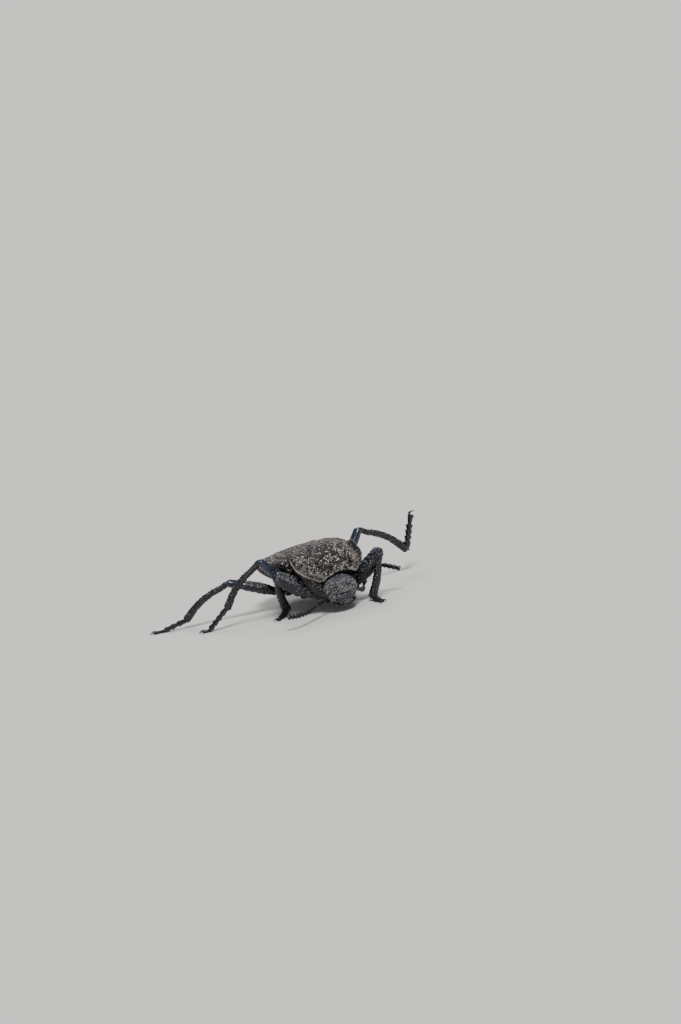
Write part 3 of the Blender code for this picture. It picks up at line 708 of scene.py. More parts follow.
def belly_surface(front, rear, ribs, seed):
    """A breast or belly plate, half an oval deep; ribs turns the belly's stepped plates on."""
    s, t = np.meshgrid(np.linspace(0, 1, 150), np.linspace(-1, 1, 90), indexing="ij")
    x = front + (rear - front) * s
    along = np.clip((CASE_FRONT - x) / CASE_LENGTH, 0, 1)
    half = case_half_width(along) * 0.61 - 0.010
    roof = case_heights(along)[2] + 0.010
    step = 0.012 * ribs * (1 - (s * 4.999 + 0.10 * t ** 2) % 1.0) ** 0.6
    deep = 0.26 * np.sqrt(np.clip(1 - (along / 1.02) ** 3, 0, 1)) + step
    low = roof - 0.03 - (deep - 0.02) * np.sqrt(np.clip(1 - np.abs(t) ** 2.6, 0, 1))
    points, normals, grains, _ = rounded_block(
        np.stack([x, t * half, roof], axis=-1), np.stack([x, t * half * 0.94, low], axis=-1), 0.30, seed)
    return raised(points, normals, grains * 0.035), {"crest": grains, "dust": 0.5}


def prothorax_surface():
    """The thorax block under the shield, with streaked sides that flare out to the margin.

    Its underside is an oval of the third power, and the flare grows as a square.
    """
    s, u = np.meshgrid(np.linspace(0, 1, 190), np.linspace(-1, 1, 260), indexing="ij")
    t = np.sign(u) * (1 - (1 - np.abs(u)) ** 2.6)
    along = -0.245 + 0.50 * s
    half = 0.355 - 0.125 * s ** 1.6
    flare = ramped(s, 0.30, 0.25) ** 2 * np.clip((1.04 - s) / 0.10, 0, 1)
    wide = half + (0.980 * shield_half_width(0.02 + 0.93 * s) - half) * flare
    ceiling = -MARGIN_THICKNESS * 1.85 + 0.01 + 0.050 * flare * np.abs(t) ** 4
    x, z = shield_turn(along, ceiling)
    base = -0.47 - 0.02 * np.sin(math.pi * s)
    depth = (z - 0.035 - base) * np.sqrt(np.clip(1 - np.abs(t) ** 3.0, 0, 1)) + 0.035
    low_x = x + 0.10 * (0.35 - s) * (1 - t ** 2)
    fall = np.clip(1 - np.abs(t), 0, 1) ** 0.5
    top = np.stack([x, t * wide, z], axis=-1)
    low = np.stack([low_x, t * (half + (wide - half) * (1 - fall)) * 0.97, z - depth], axis=-1)
    points, normals, grains, mark = rounded_block(top, low, BACK_GRAIN, 61)
    streak = np.sin(points[..., 2] / (0.10 * MM) + 5 * drift(points, 1.4, 62)) * 0.5 + 0.5
    points = raised(points, normals, grains * 0.04 + streak * 0.05)
    speck = spotted(grains, mark, 17.7, 0.05)
    patches = drift(points, 0.9, 63)
    return points, {"crest": grains, "dust": 0.15 + 0.55 * streak * patches, "speck": speck}


# The head

# Rounded plates: middle, half widths, rows, columns, grain size and height in millimetres, and the
# number of their scatter; the skull also has a power below 1 that flattens it.
SCUTELLUM = ((-0.300, 0, 0.085), (0.055, 0.075, 0.045), 60, 80, 0.25, 0.05, 27)
WAIST = (WAIST_MIDDLE, WAIST_HALF, 90, 120, 0.25, 0.03, 73)
SKULL = ((0, 0, 0), HEAD_HALF, 260, 320, 0.21, 0.075, 81, 0.85)
CLYPEUS = ((0.030, 0, 0.162), (0.074, 0.128, 0.052), 90, 140, 0.20, 0.08, 84)
NECK = (NECK_MIDDLE, NECK_HALF, 60, 80, 0.2, 0.0, 87)
LABRUM = ((0.042, 0, 0.203), (0.040, 0.096, 0.032), 50, 80, 0.2, 0.04, 90)
EYE_PLACE = (-0.01, 0.225, -0.02)
EYE_HALF = (0.042, 0.034, 0.066)
# Places out of the face, to its left and down it.
JAW_ROUTE = ((-0.060, 0.100, 0.150), (-0.030, 0.102, 0.195), (-0.010, 0.072, 0.222),
             (-0.004, 0.022, 0.226))
PALP_ROUTE = ((-0.080, 0.080, 0.130), (-0.050, 0.132, 0.160), (-0.010, 0.146, 0.176),
              (0.022, 0.118, 0.190))


def ball(middle, half, rows, around, power=1.0):
    """A flattened ball on the head, from its back pole to its face; power below 1 flattens it."""
    angle = np.pi * spaced(rows + 2, 0.0)[1:-1][:, None]
    turn = np.linspace(0, 2 * np.pi, around, endpoint=False)[None, :]
    out = -np.cos(angle)
    out = np.sign(out) * np.abs(out) ** power
    ring = np.sin(angle)
    return (middle[0] + half[0] * out + 0 * turn, middle[1] + half[1] * ring * np.cos(turn),
            middle[2] + half[2] * ring * np.sin(turn))


def at_grid(x, y, z):
    """A place on the body from grids of its three values, in widths."""
    return at(np.stack(np.broadcast_arrays(x, y, z), axis=-1))


def rough_ball(middle, half, rows, around, size, height, seed, power=1.0, dents=None, placed=head_place):
    """A ball whose skin carries grains; dents gives the depth of its grooves, in widths."""
    depth, across, down = ball(middle, half, rows, around, power)
    dent = 0.0 if dents is None else dents(depth, across, down)
    depth = depth + dent
    points = placed(depth, across, down)
    normals = grid_normals(points)
    grains, mark = granules(points, size, seed, 0.85)
    swell = drift(points, 1.1, seed + 1) - 0.5
    points = raised(points, normals, grains * height + swell * 0.10)
    bare = 0.40 - 0.3 * (drift(points, 1.2, seed + 3) - 0.5)
    speck = spotted(grains, mark, 23.1, 0.22)
    settle = coat(grains, mark, bare) * (0.8 + 0.4 * drift(points, 1.7, seed + 2))
    # Dust fades out towards the back of each ball, where it meets the part behind, and leaves the bare
    # chitin dark there: partly dust-free chitin, partly painted shade in the gap.
    settle = settle * np.clip(1.15 + (depth - middle[0]) / (0.45 * half[0]), 0, 1)
    settle = settle * np.clip(1 + dent / 0.014, 0, 1)
    return points, {"crest": grains, "dust": settle, "speck": speck}


def face_dents(depth, across, down):
    """The face: a groove over the clypeus and two shallow dimples."""
    front = np.clip(depth / 0.03, 0, 1)
    arc = 0.112 - 0.9 * across ** 2
    groove = -0.018 * bell(down, arc, 0.008) * np.clip(2.2 - np.abs(across) / 0.06, 0, 1)
    dimples = sum(-0.010 * np.exp(-(((across - side * 0.10) / 0.035) ** 2
                                    + ((down - 0.02) / 0.045) ** 2)) for side in (-1, 1))
    return front * (groove + dimples)


def head_tube(route, side, count, radius, flat, around):
    """A rod on one side of the head: a smooth curve through places, radius over shares from 0 to 1."""
    u = np.linspace(0, 1, count)
    size = radius(u) * WIDTH
    path = spline([head_place(out, side * across, down) for out, across, down in route], count)
    return sweep(path, size, size * flat, UPRIGHT, around)


def jaw_surface(side):
    """A jaw: a horn that bends in under the lip and grows thinner as the share to the power 1.5."""
    return head_tube(JAW_ROUTE, side, 60, lambda u: (0.042 - 0.026 * u ** 1.5) * rounded(u, 0.10),
                     0.75, 32)


def palp_surface(side):
    """A palp: three small clubs in a row, the last one the widest."""
    def radius(u):
        """The radius in widths at a share of the length."""
        local = (u * 3) % 1.0
        return (0.013 + 0.011 * local ** 1.4 + 0.006 * (u > 0.667) * local) * rounded(u, 0.03)

    return head_tube(PALP_ROUTE, side, 90, radius, 1.0, 24)


def antenna_skins(side, route):
    """The antenna's joints: clubs along a smooth route, the last three rounder; some overlap."""
    root = head_place(-0.02, side * (ANTENNA_ROOT - 0.03), 0.080)
    path = spline(np.concatenate([[root], at(route)]), 400)
    bounds = np.concatenate([[0], np.cumsum(ANTENNA_SHARES)]) / sum(ANTENNA_SHARES)
    u = spaced(26, 0.35)
    slender = 0.46 + 0.76 * np.clip(u / 0.75, 0, 1) ** 1.2
    bead = 0.42 + 0.80 * np.sin(np.pi * np.clip(u, 0, 0.75) / 1.3)
    for joint, (start, stop) in enumerate(zip(bounds, bounds[1:])):
        club = bead if joint > 7 else slender
        size = ANTENNA_RADIUS * WIDTH * club * rounded(u, 0.16) * (0.86 if joint < 7 else 1.0)
        line = along_path(path, np.clip(start - 0.004 + (stop - start + 0.010) * u, 0, 1))
        yield sweep(line, size, size, UPRIGHT, 24), {"crest": 0.4, "dust": 0.35}


# Legs

def find_knee(root, foot, upper, lower, towards):
    """The place at both lengths from the two ends that lies most towards a given point."""
    axis = foot - root
    reach = np.linalg.norm(axis)
    way = axis / reach
    share = (upper ** 2 - lower ** 2 + reach ** 2) / (2 * reach)
    rise = math.sqrt(max(upper ** 2 - share ** 2, 0.0))
    aim = towards - root
    out = unit(aim - way * np.dot(aim, way))
    return root + way * share + out * rise


def leg_frame(leg):
    """The places and directions of one leg, worked out as the solids are."""
    name, pair, root, ankle, hint, toe, grip = leg
    root, ankle, hint, toe = at(root), at(ankle), at(hint), at(toe)
    knee = find_knee(root, ankle, FEMUR[pair] * WIDTH, TIBIA[pair] * WIDTH, hint)
    thigh = unit(knee - root)
    shin = unit(ankle - knee)
    side = unit(np.cross(shin, thigh))
    bend = unit(np.cross(side, shin))
    if np.dot(bend, thigh) < 0:
        bend = -bend
    return {"name": name, "pair": pair, "root": root, "ankle": ankle, "hint": hint, "toe": toe,
            "grip": grip, "knee": knee, "thigh": thigh, "shin": shin, "side": side, "bend": bend,
            "stout": FEMUR_RADIUS[pair] * WIDTH, "slim": TIBIA_RADIUS[pair] * WIDTH}


def bowed(start, end, bow, u):
    """Places along a limb: a straight line, and half a sine wave of bow added."""
    return start + (end - start) * u[:, None] + bow * np.sin(np.pi * u)[:, None]


# Radii along a femur, and for each: rows, columns, cap, start of the smooth end, grain size, height.
FORE_CLUB = (0.44, 0.50, 0.62, 0.80, 0.95, 1.00, 0.98, 0.93, 0.86, 0.78, 0.66)
OTHER_CLUB = (0.52, 0.64, 0.80, 0.94, 1.00, 0.98, 0.93, 0.88, 0.85, 0.83, 0.78)
FORE_FEMUR = (FORE_CLUB, 200, 120, 0.07, 0.97, 0.34, 0.19)
OTHER_FEMUR = (OTHER_CLUB, 180, 76, 0.05, 0.70, 0.29, 0.14)


def facing_up(normals):
    """How much dust can settle: 0 under a limb, 1 on its top."""
    return np.clip(normals[..., 2] * 0.8 + 0.45, 0, 1)


def femur_surface(leg):
    """The femur: a club that swells past its middle, with a slot at the knee that takes the shin."""
    club, rows, around, end_share, smooth_from, size, tall = OTHER_FEMUR if leg["pair"] else FORE_FEMUR
    u = spaced(rows, 0.35)
    start = leg["root"] + leg["thigh"] * 0.035 * WIDTH
    end = leg["knee"] + leg["thigh"] * 0.020 * WIDTH
    bow = unit(leg["hint"] - (leg["root"] + leg["ankle"]) / 2) * FEMUR_BOW * WIDTH
    shape = np.interp(u, np.linspace(0, 1, 11), club)
    kernel = np.hanning(15)
    shape = np.convolve(np.pad(shape, 7, mode="edge"), kernel / kernel.sum(), mode="valid")
    cap = rounded(u, end_share)
    radius = leg["stout"] * shape * cap
    points = sweep(bowed(start, end, bow, u), radius * 0.90, radius, leg["side"], around)
    normals = grid_normals(points)
    front = np.sum(normals * leg["shin"], axis=-1)
    slot = ramped(u, 0.86, 0.10)[:, None] * ramped(front, 0.62, 0.3)
    points = points - normals * (slot * 0.30 * leg["stout"])[..., None]
    grainy = np.clip((smooth_from - u) / 0.05, 0, 1)[:, None]
    grains, mark = granules(points, size, 40 + leg["pair"], 0.78)
    swell = drift(points, 0.9, 47) - 0.5
    points = raised(points, normals, (grains * tall + swell * 0.06) * grainy * cap[:, None])
    up = facing_up(normals)
    speck = 0.75 * spotted(grains, mark, 27.1, 0.34) * grainy * up
    lying = coat(grains, mark, 0.72 - 0.5 * (drift(points, 1.5, 48) - 0.5)) * grainy
    return points, {"crest": grains * grainy, "dust": up * lying, "speck": speck, "polish": 1 - grainy}


def tibia_surface(leg):
    """The tibia: slender at the knee, thicker and rough towards its end, and bowed outward."""
    u = spaced(210, 0.4)
    start = leg["knee"] - leg["thigh"] * 0.020 * WIDTH + leg["shin"] * leg["stout"] * 0.20
    end = leg["ankle"] + leg["shin"] * 0.010 * WIDTH
    bow = leg["bend"] * TIBIA_BOW[leg["pair"]] * WIDTH
    shin = bowed(start, end, bow, np.array([0.14, 0.3, 0.5, 0.7, 0.85, 1.0]))
    elbow = [leg["knee"] - leg["thigh"] * 0.055 * WIDTH, leg["knee"] + leg["shin"] * 0.012 * WIDTH]
    path = along_path(spline(np.concatenate([elbow, shin]), 400), u)
    shape = (0.98 if leg["pair"] == 0 else 0.84) + 0.32 * u ** 1.2
    shape = shape + 0.10 * ramped(u, 0.90, 0.10) ** 2
    cap = rounded(u, 0.035)
    radius = leg["slim"] * shape * cap
    points = sweep(path, radius * 0.92, radius, leg["side"], 56)
    normals = grid_normals(points)
    grains, mark = granules(points, 0.26, 51, 0.85)
    grain = grains * np.clip(u / 0.12, 0.15, 1)[:, None] * cap[:, None]
    outer = np.sum(normals * leg["bend"], axis=-1)
    ridge = ramped(np.abs(np.sum(normals * leg["side"], axis=-1)), 0.75, 0.25)
    points = raised(points, normals, grain * 0.14 + ridge * 0.03 * cap[:, None])
    up = facing_up(normals)
    speck = spotted(grains, mark, 27.1, 0.22) * up * np.clip(outer + 0.8, 0, 1)
    return points, {"crest": grain, "dust": 0.6 * up * coat(grains, mark, 0.92), "speck": 0.7 * speck}


def coxa_surface(leg):
    """The coxa: a smooth bulb from near the midline out to the femur."""
    root = leg["root"]
    inner = np.array([root[0], MIDDLE[1] + (root[1] - MIDDLE[1]) * 0.55, root[2] + 0.02 * WIDTH])
    u = spaced(60, 0.4)
    shape = np.interp(u, (0, 0.4, 0.7, 1), (0.62, 0.84, 0.80, 0.50))
    size = leg["stout"] * shape * rounded(u, 0.15)
    path = bowed(inner, root + leg["thigh"] * 0.03 * WIDTH, np.zeros(3), u)
    return sweep(path, size, size, (1, 0, 0), 48)


def cone(start, end, radius, bow, hint):
    """A curved spike: its radius falls along a root curve to a fine point."""
    u = spaced(26, 0.3)
    path = bowed(start, end, bow, u)
    size = radius * (1 - u) ** 0.75 * rounded(u * 0.5, 0.02) + radius * 0.02
    return sweep(path, size, size, hint, 14)


def spur_skins(leg):
    """Two spikes at the shin's end, one on each side, that stay off the floor."""
    for hand in (-1, 1):
        root = leg["ankle"] + leg["side"] * hand * leg["slim"] * 0.55 - leg["shin"] * 0.03 * WIDTH
        tip = root + unit(leg["shin"] + leg["side"] * hand * 0.5) * SPUR_LENGTH * WIDTH
        tip[2] = max(tip[2], 0.25 * MM)
        yield cone(root, tip, leg["slim"] * 0.34, np.zeros(3), leg["bend"]), {}


def foot_places(leg, share):
    """Places along a foot, 0 at its root and 1 at its claws; its last joint lies on the floor."""
    away = unit(leg["toe"] - leg["ankle"])
    tread = (TARSUS[leg["pair"]] - CLAW_LENGTH) * WIDTH
    heel = leg["ankle"] + away * (leg["slim"] * 1.05 + 0.39 * MM)
    places = heel + away * (np.asarray(share) * tread)[:, None]
    if leg["grip"] is None:
        sole = TARSUS_RADIUS * WIDTH * SOLE_SHARE
        places[:, 2] = sole + (heel[2] - sole) * np.maximum(1 - np.asarray(share) / LEVEL_FROM, 0)
    return places


def tarsus_skins(leg):
    """The foot's joints: each a small club, narrow at its root, cut off flat and pressed flat below."""
    joints = 5 if leg["pair"] < 2 else 4
    shares = np.array([1.25] + [0.80] * (joints - 2) + [1.40])
    bounds = -0.22 + 1.22 * np.concatenate([[0], np.cumsum(shares)]) / shares.sum()
    stout = 1.0 if leg["grip"] is None else 1.18
    u = spaced(34, 0.35)
    for joint in range(joints):
        path = foot_places(leg, bounds[joint] - 0.012 + (bounds[joint + 1] - bounds[joint] + 0.036) * u)
        club = 0.92 + 0.56 * np.clip(u / 0.80, 0, 1) ** 1.2
        if joint == joints - 1:
            club = 0.74 + 0.56 * u
        radius = TARSUS_RADIUS * WIDTH * club * stout * rounded(u, 0.12)
        rings = above_floor(sweep(path, radius * 1.05, radius, (0.3, 0.2, 0.9), 26))
        yield rings, {"crest": 0.5, "dust": 0.22}


def above_floor(points):
    """Points with none below the floor."""
    points[..., 2] = np.maximum(points[..., 2], 0.0)
    return points


def claw_skins(leg):
    """Two curved claws that spread from the last joint."""
    target = foot_places(leg, [1.0])[0]
    forward = unit(target - foot_places(leg, [0.0])[0])
    if leg["grip"] is None:
        forward = unit(forward * np.array([1, 1, 0]))
    across = unit(np.cross(forward, UPRIGHT))
    if leg["grip"] is not None:
        forward = unit(np.array(leg["grip"]))
        across = unit(np.cross(across, forward))
    for hand in (-1, 1):
        root = target - forward * 0.03 * WIDTH + across * hand * 0.010 * WIDTH
        tip = root + unit(forward + across * hand * CLAW_SPREAD) * CLAW_LENGTH * WIDTH
        if leg["grip"] is None:
            tip[2] = 0.010 * WIDTH
        arch = np.array([0, 0, CLAW_ARCH * WIDTH])
        yield above_floor(cone(root, tip, CLAW_RADIUS * WIDTH, arch, across)), {}


# Bristles

BRISTLE_STEPS = np.array([0.0, 0.45, 0.8, 1.0])     # shares of a bristle's length
BRISTLE_SIZES = np.array([1.0, 0.75, 0.45, 0.06])   # its radius there, in root radii
BRISTLE_BOWS = np.array([0.0, 0.04, 0.10, 0.20])    # how far it bends there, in lengths
PATCH_RADIUS = 0.0015                               # of a bristle's own patch of the bake map
SHIN_COUNT, SHIN_BRISTLE = 260, 0.014               # how many, and their radius in millimetres
FOOT_COUNT, FOOT_BRISTLE = 120, 0.013
FIRST_DRAW = 500                                    # number of the first leg's random draws


def build_bristles(name, roots, ways, lengths, radii, patches):
    """Thin three-sided spikes, each bent a little, from roots along given ways, in one mesh.

    Ring k lies at the root plus the way times its share of the length, plus a bend to the side.
    """
    count = len(roots)
    side = unit(np.cross(ways, np.array([0.31, 0.52, 0.79])))
    other = np.cross(ways, side)
    angle = np.linspace(0, 2 * np.pi, 4)[:-1]
    spine = (roots[:, None, :] + ways[:, None, :] * (lengths[:, None] * BRISTLE_STEPS)[..., None]
             + other[:, None, :] * (lengths[:, None] * BRISTLE_BOWS)[..., None])
    ring = (side[:, None, None, :] * np.cos(angle)[:, None]
            + other[:, None, None, :] * np.sin(angle)[:, None])
    points = spine[:, :, None, :] + ring * (radii[:, None] * BRISTLE_SIZES)[:, :, None, None]
    index = np.arange(count * 12).reshape(count, 4, 3)
    right = np.roll(index, -1, axis=2)
    quads = np.stack([index[:, :-1], right[:, :-1], right[:, 1:], index[:, 1:]], axis=-1).reshape(-1, 4)
    caps = np.concatenate([index[:, 0, ::-1], index[:, -1, :]])
    twelve = np.stack([np.cos(np.arange(12)), np.sin(np.arange(12))], axis=-1) * PATCH_RADIUS
    uvs = np.repeat(patches, 12, axis=0) + np.tile(twelve, (count, 1))
    mesh = bpy.data.meshes.new(name)
    mesh.from_pydata(points.reshape(-1, 3).tolist(), [], quads.tolist() + caps.tolist())
    loops = np.zeros(len(mesh.loops), dtype=np.int32)
    mesh.loops.foreach_get("vertex_index", loops)
    layer = mesh.uv_layers.new(name="OFBake")
    layer.data.foreach_set("uv", uvs[loops].astype(np.float32).ravel())
    fix = bmesh.new()
    fix.from_mesh(mesh)
    bmesh.ops.recalc_face_normals(fix, faces=fix.faces[:])
    fix.to_mesh(mesh)
    fix.free()
    place_piece(name, mesh, "bristle")


def shin_bristles(leg, draw, count):
    """Bristles on the shin that lean towards the foot: roots, ways, lengths, radii and patches."""
    points = tibia_surface(leg)[0]
    normals = grid_normals(points)
    rows, columns = points.shape[:2]
    row = draw.integers(int(rows * 0.15), int(rows * 0.97), count)
    column = draw.integers(0, columns, count)
    ways = unit(normals[row, column] * 0.55 + leg["shin"] * 0.85 + draw.normal(0, 0.12, (count, 3)))
    lengths = draw.uniform(0.16, 0.30, count) * MM
    patches = np.stack([row / rows, column / columns * 0.45], axis=-1)
    return points[row, column] - ways * 0.02 * MM, ways, lengths, np.full(count, SHIN_BRISTLE * MM), patches


def foot_bristles(leg, draw, count):
    """Bristles under the foot, shorter where they would reach the floor, in the same form."""
    share = draw.uniform(-0.05, 0.92, count)
    around = draw.uniform(-1, 1, count)
    base = foot_places(leg, share)
    forward = unit(foot_places(leg, share + 0.02) - base)
    across = unit(np.cross(forward, UPRIGHT))
    down = np.array([0, 0, -0.45]) if leg["grip"] is None else -leg["bend"] * 0.45
    ways = unit(across * around[:, None] + down + forward * 0.8)
    base = base + across * (around * 0.018 * WIDTH)[:, None] + np.array([0, 0, 0.002 * WIDTH])
    lengths = draw.uniform(0.14, 0.26, count) * MM
    lengths = np.where((base + ways * lengths[:, None])[:, 2] < 0.02 * MM, lengths * 0.45, lengths)
    patches = np.stack([share, 0.55 + (around + 1) * 0.2], axis=-1)
    return base, ways, lengths, np.full(count, FOOT_BRISTLE * MM), patches


# Settings in the panel

class BeetleColors(bpy.types.PropertyGroup):
    """Colours of the shell and its dust"""
    shell: bpy.props.StringProperty(name="Shell", description="Hex colour of the bare shell",
                                    default="#101116")
    dust_dark: bpy.props.StringProperty(name="Dark dust", description="Hex colour of thin dust",
                                        default="#5f5a58")
    dust_light: bpy.props.StringProperty(name="Light dust", description="Hex colour of thick dust",
                                         default="#968c85")
    speck: bpy.props.StringProperty(name="Speck", description="Hex colour of the pale grains",
                                    default="#ece6dc")


class BeetleStage(bpy.types.PropertyGroup):
    """Settings of the floor, the camera and the lamps"""
    floor_color: bpy.props.StringProperty(name="Floor", description="Hex colour of the floor",
                                          default="#e6e3de")
    distance: bpy.props.FloatProperty(name="Camera distance", description="Camera to animal",
                                      default=0.9, unit="LENGTH")
    lamp_power: bpy.props.FloatProperty(name="Lamp strength", description="Strength of the main lamp",
                                        default=2.6)


class BEETLE_OT_pronotum(bpy.types.Operator):
    """Make the shield behind the head"""
    bl_idname = "beetle.pronotum"
    bl_label = "Pronotum"

    def execute(self, context):
        make_piece("pronotum_shell", [shield_surface()], "back", ("pronotum",))
        return {"FINISHED"}


class BEETLE_OT_wing_cases(bpy.types.Operator):
    """Make the two wing cases"""
    bl_idname = "beetle.wing_cases"
    bl_label = "Wing cases"

    def execute(self, context):
        make_piece("scutellum", [rough_ball(*SCUTELLUM, placed=at_grid)], "back", ())
        for word, side in SIDES:
            make_piece("wing_case_shell_" + word, [case_surface(side)], "back", ("wing_case_" + word,))
        return {"FINISHED"}


class BEETLE_OT_underside(bpy.types.Operator):
    """Make the thorax block, the breast and the belly"""
    bl_idname = "beetle.underside"
    bl_label = "Underside"

    def execute(self, context):
        make_piece("prothorax_shell", [prothorax_surface()], "flank", ("prothorax",))
        make_piece("metathorax_shell", [belly_surface(-0.280, -0.700, 0.0, 71)], "flank", ("metathorax",))
        make_piece("waist_shell", [rough_ball(*WAIST, placed=at_grid)], "flank")
        make_piece("abdomen_shell", [belly_surface(-0.690, -1.575, 1.0, 72)], "flank", ("abdomen",))
        return {"FINISHED"}


class BEETLE_OT_head(bpy.types.Operator):
    """Make the head, its clypeus and its neck"""
    bl_idname = "beetle.head"
    bl_label = "Head"

    def execute(self, context):
        skull = rough_ball(*SKULL, dents=face_dents)
        make_piece("head_shell", [skull], "face", ("head",))
        plate, values = rough_ball(*CLYPEUS)
        values["dust"] = values["dust"] * 0.6
        make_piece("clypeus_plate", [(plate, values)], "leg")
        make_piece("neck_shell", [rough_ball(*NECK)], "joint")
        return {"FINISHED"}


class BEETLE_OT_face(bpy.types.Operator):
    """Make the eyes, lip, jaws and palps"""
    bl_idname = "beetle.face"
    bl_label = "Face"

    def execute(self, context):
        make_piece("labrum_plate", [rough_ball(*LABRUM)], "leg", ("labrum",))
        for word, side in SIDES:
            middle = (EYE_PLACE[0], side * EYE_PLACE[1], EYE_PLACE[2])
            lens = head_place(*ball(middle, EYE_HALF, 40, 56))
            make_piece("eye_lens_" + word, [(lens, {})], "eye", ("eye_" + word,))
            make_piece("mandible_horn_" + word, [(jaw_surface(side), {})], "joint", ("mandible_" + word,))
            make_piece("palp_shell_" + word, [(palp_surface(side), {})], "mouth", ("palp_" + word,))
        return {"FINISHED"}


class BEETLE_OT_antennae(bpy.types.Operator):
    """Make the two beaded antennae"""
    bl_idname = "beetle.antennae"
    bl_label = "Antennae"

    def execute(self, context):
        for word, side, route in ANTENNAE:
            make_piece("antenna_shell_" + word, antenna_skins(side, route), "leg", ("antenna_" + word,))
        return {"FINISHED"}


class BEETLE_OT_legs(bpy.types.Operator):
    """Make the six legs, their spurs and claws"""
    bl_idname = "beetle.legs"
    bl_label = "Legs"

    def execute(self, context):
        for leg in map(leg_frame, LEGS):
            name = leg["name"]
            make_piece("coxa_ball_" + name, [(coxa_surface(leg), {})], "joint", ("coxa_" + name,))
            make_piece("femur_shell_" + name, [femur_surface(leg)], "leg", ("femur_" + name,))
            make_piece("tibia_shell_" + name, [tibia_surface(leg)], "leg", ("tibia_" + name,))
            make_piece("spurs_" + name, spur_skins(leg), "claw")
            make_piece("tarsus_shell_" + name, tarsus_skins(leg), "leg", ("tarsus_" + name,))
            make_piece("claws_" + name, claw_skins(leg), "claw")
        return {"FINISHED"}


class BEETLE_OT_bristles(bpy.types.Operator):
    """Make the short bristles on shins and feet"""
    bl_idname = "beetle.bristles"
    bl_label = "Bristles"

    def execute(self, context):
        for order, leg in enumerate(map(leg_frame, LEGS)):
            draw = np.random.default_rng(FIRST_DRAW + order)
            batches = [shin_bristles(leg, draw, SHIN_COUNT), foot_bristles(leg, draw, FOOT_COUNT)]
            build_bristles("bristles_" + leg["name"], *map(np.concatenate, zip(*batches)))
        return {"FINISHED"}


class BEETLE_OT_stage(bpy.types.Operator):
    """Make the floor, the lamps and the camera"""
    bl_idname = "beetle.stage"
    bl_label = "Stage"

    def execute(self, context):
        stage = context.scene.beetle_stage
        make_floor(stage.floor_color)
        make_lamps(stage.lamp_power)
        make_camera(stage.distance)
        return {"FINISHED"}


class BEETLE_PT_panel(bpy.types.Panel):
    """Lists the pieces of the beetle"""
    bl_idname = "BEETLE_PT_panel"
    bl_label = "Beetle"
    bl_space_type = "VIEW_3D"
    bl_region_type = "UI"
    bl_category = "Beetle"

    def draw(self, context):
        for settings in (context.scene.beetle_colors, context.scene.beetle_stage):
            for key in settings.__annotations__:
                self.layout.prop(settings, key)
        for operator in OPERATORS:
            self.layout.operator(operator.bl_idname)


# Stage

IMAGE_WIDTH, IMAGE_HEIGHT = 681, 1024
MIDDLE_PIXEL = (330.0, 563.0)          # where the pronotum's middle lies in the picture
PIXELS_PER_WIDTH = 75.1
CAMERA_RIGHT = np.array([0.443, 0.866, -0.236])
CAMERA_UP = np.array([-0.067, 0.293, 0.954])
BOARD_IOR = 1.5
FLOOR_SIZE = 6.0
FLOOR_DROP = 0.01 * MM                  # keeps the floor from sharing a plane with the soles
LAMPS = (                               # name, way it shines, how wide it looks, share of the power
    ("main_lamp", (-0.50, 0.05, -0.86), 20, 1.0),
    ("rear_lamp", (0.70, -0.30, -0.65), 30, 0.4),
)
SKY = (0.93, 0.96, 1.0, 1.0)
SKY_STRENGTH = 0.30
SENSOR = 36.0                           # millimetres
NEAREST, FARTHEST = 0.05, 20.0          # what the camera still sees


def make_floor(color):
    """A wide level floor, pale and dull."""
    made, _, shader, _ = new_material("pale_matt_board")
    shader.inputs["Base Color"].default_value = linear(color)
    shader.inputs["Roughness"].default_value = 0.9
    shader.inputs["IOR"].default_value = BOARD_IOR
    bpy.ops.mesh.primitive_plane_add(size=FLOOR_SIZE, location=(0, 0, -FLOOR_DROP))
    floor = bpy.context.active_object
    floor.name = "floor"
    floor.data.materials.append(made)


def make_lamps(power):
    """A broad soft lamp from above, a weaker one from behind, and an even pale sky."""
    for name, way, spread_angle, share in LAMPS:
        data = bpy.data.lights.new(name, "SUN")
        data.angle = math.radians(spread_angle)
        data.energy = power * share
        lamp = bpy.data.objects.new(name, data)
        lamp.location = -0.5 * Vector(way)
        lamp.rotation_mode = "QUATERNION"
        lamp.rotation_quaternion = Vector(way).to_track_quat("-Z", "Y")
        bpy.context.scene.collection.objects.link(lamp)
    world = bpy.data.worlds.new("soft_sky")
    bpy.context.scene.world = world
    world.use_nodes = True
    sky = world.node_tree.nodes["Background"]
    sky.inputs["Color"].default_value = SKY
    sky.inputs["Strength"].default_value = SKY_STRENGTH


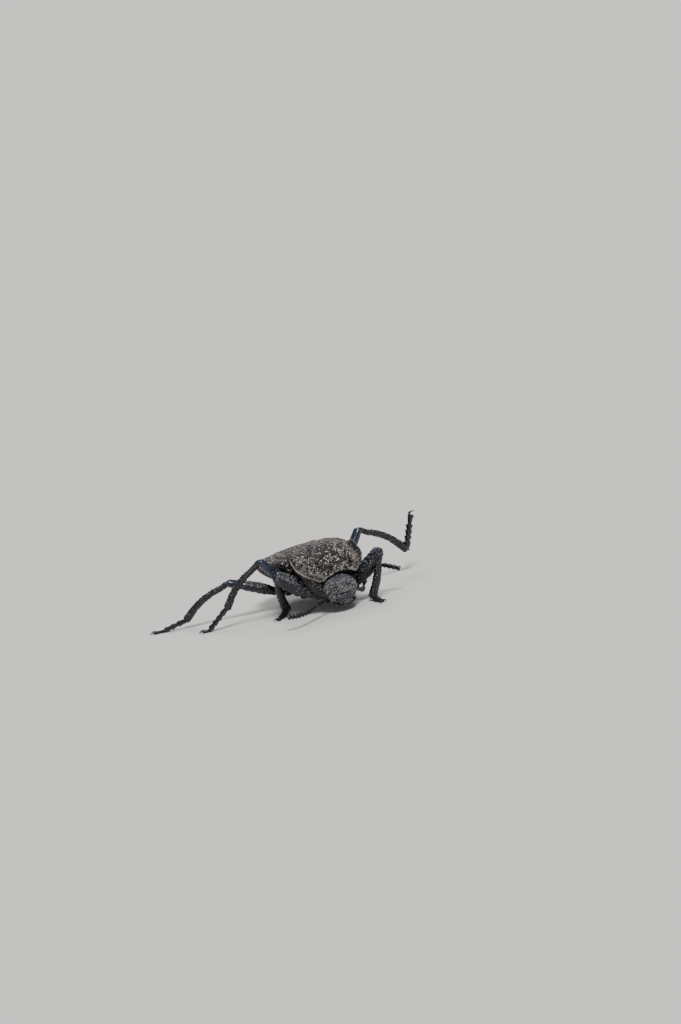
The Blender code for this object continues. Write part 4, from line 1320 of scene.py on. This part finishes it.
def make_camera(distance):
    """The camera at the picture's angle; its aim puts the pronotum's middle on its own pixel."""
    right = unit(CAMERA_RIGHT)
    back = unit(np.cross(right, CAMERA_UP))
    up = np.cross(back, right)
    pixel = WIDTH / PIXELS_PER_WIDTH
    aim = (MIDDLE + right * (IMAGE_WIDTH / 2 - MIDDLE_PIXEL[0]) * pixel
           + up * (MIDDLE_PIXEL[1] - IMAGE_HEIGHT / 2) * pixel)
    data = bpy.data.cameras.new("camera")
    data.sensor_width = SENSOR
    data.lens = SENSOR * distance / (IMAGE_HEIGHT * pixel)
    data.clip_start = NEAREST
    data.clip_end = FARTHEST
    camera = bpy.data.objects.new("camera", data)
    turn = Matrix((right, up, back)).transposed().to_4x4()
    camera.matrix_world = Matrix.Translation(Vector(aim + back * distance)) @ turn
    bpy.context.scene.collection.objects.link(camera)
    bpy.context.scene.camera = camera


OPERATORS = (BEETLE_OT_pronotum, BEETLE_OT_wing_cases, BEETLE_OT_underside, BEETLE_OT_head,
             BEETLE_OT_face, BEETLE_OT_antennae, BEETLE_OT_legs, BEETLE_OT_bristles, BEETLE_OT_stage)
CLASSES = (BeetleColors, BeetleStage) + OPERATORS + (BEETLE_PT_panel,)


def register():
    """Makes the panel, its settings and its operators known."""
    for cls in CLASSES:
        bpy.utils.register_class(cls)
    bpy.types.Scene.beetle_colors = bpy.props.PointerProperty(type=BeetleColors)
    bpy.types.Scene.beetle_stage = bpy.props.PointerProperty(type=BeetleStage)


def unregister():
    """Takes them away again."""
    del bpy.types.Scene.beetle_stage
    del bpy.types.Scene.beetle_colors
    for cls in reversed(CLASSES):
        bpy.utils.unregister_class(cls)


def main():
    """Makes every piece in order."""
    register()
    make_materials(bpy.context.scene.beetle_colors)
    bpy.ops.beetle.pronotum()
    bpy.ops.beetle.wing_cases()
    bpy.ops.beetle.underside()
    bpy.ops.beetle.head()
    bpy.ops.beetle.face()
    bpy.ops.beetle.antennae()
    bpy.ops.beetle.legs()
    bpy.ops.beetle.bristles()
    bpy.ops.beetle.stage()


if __name__ == "__main__":
    main()
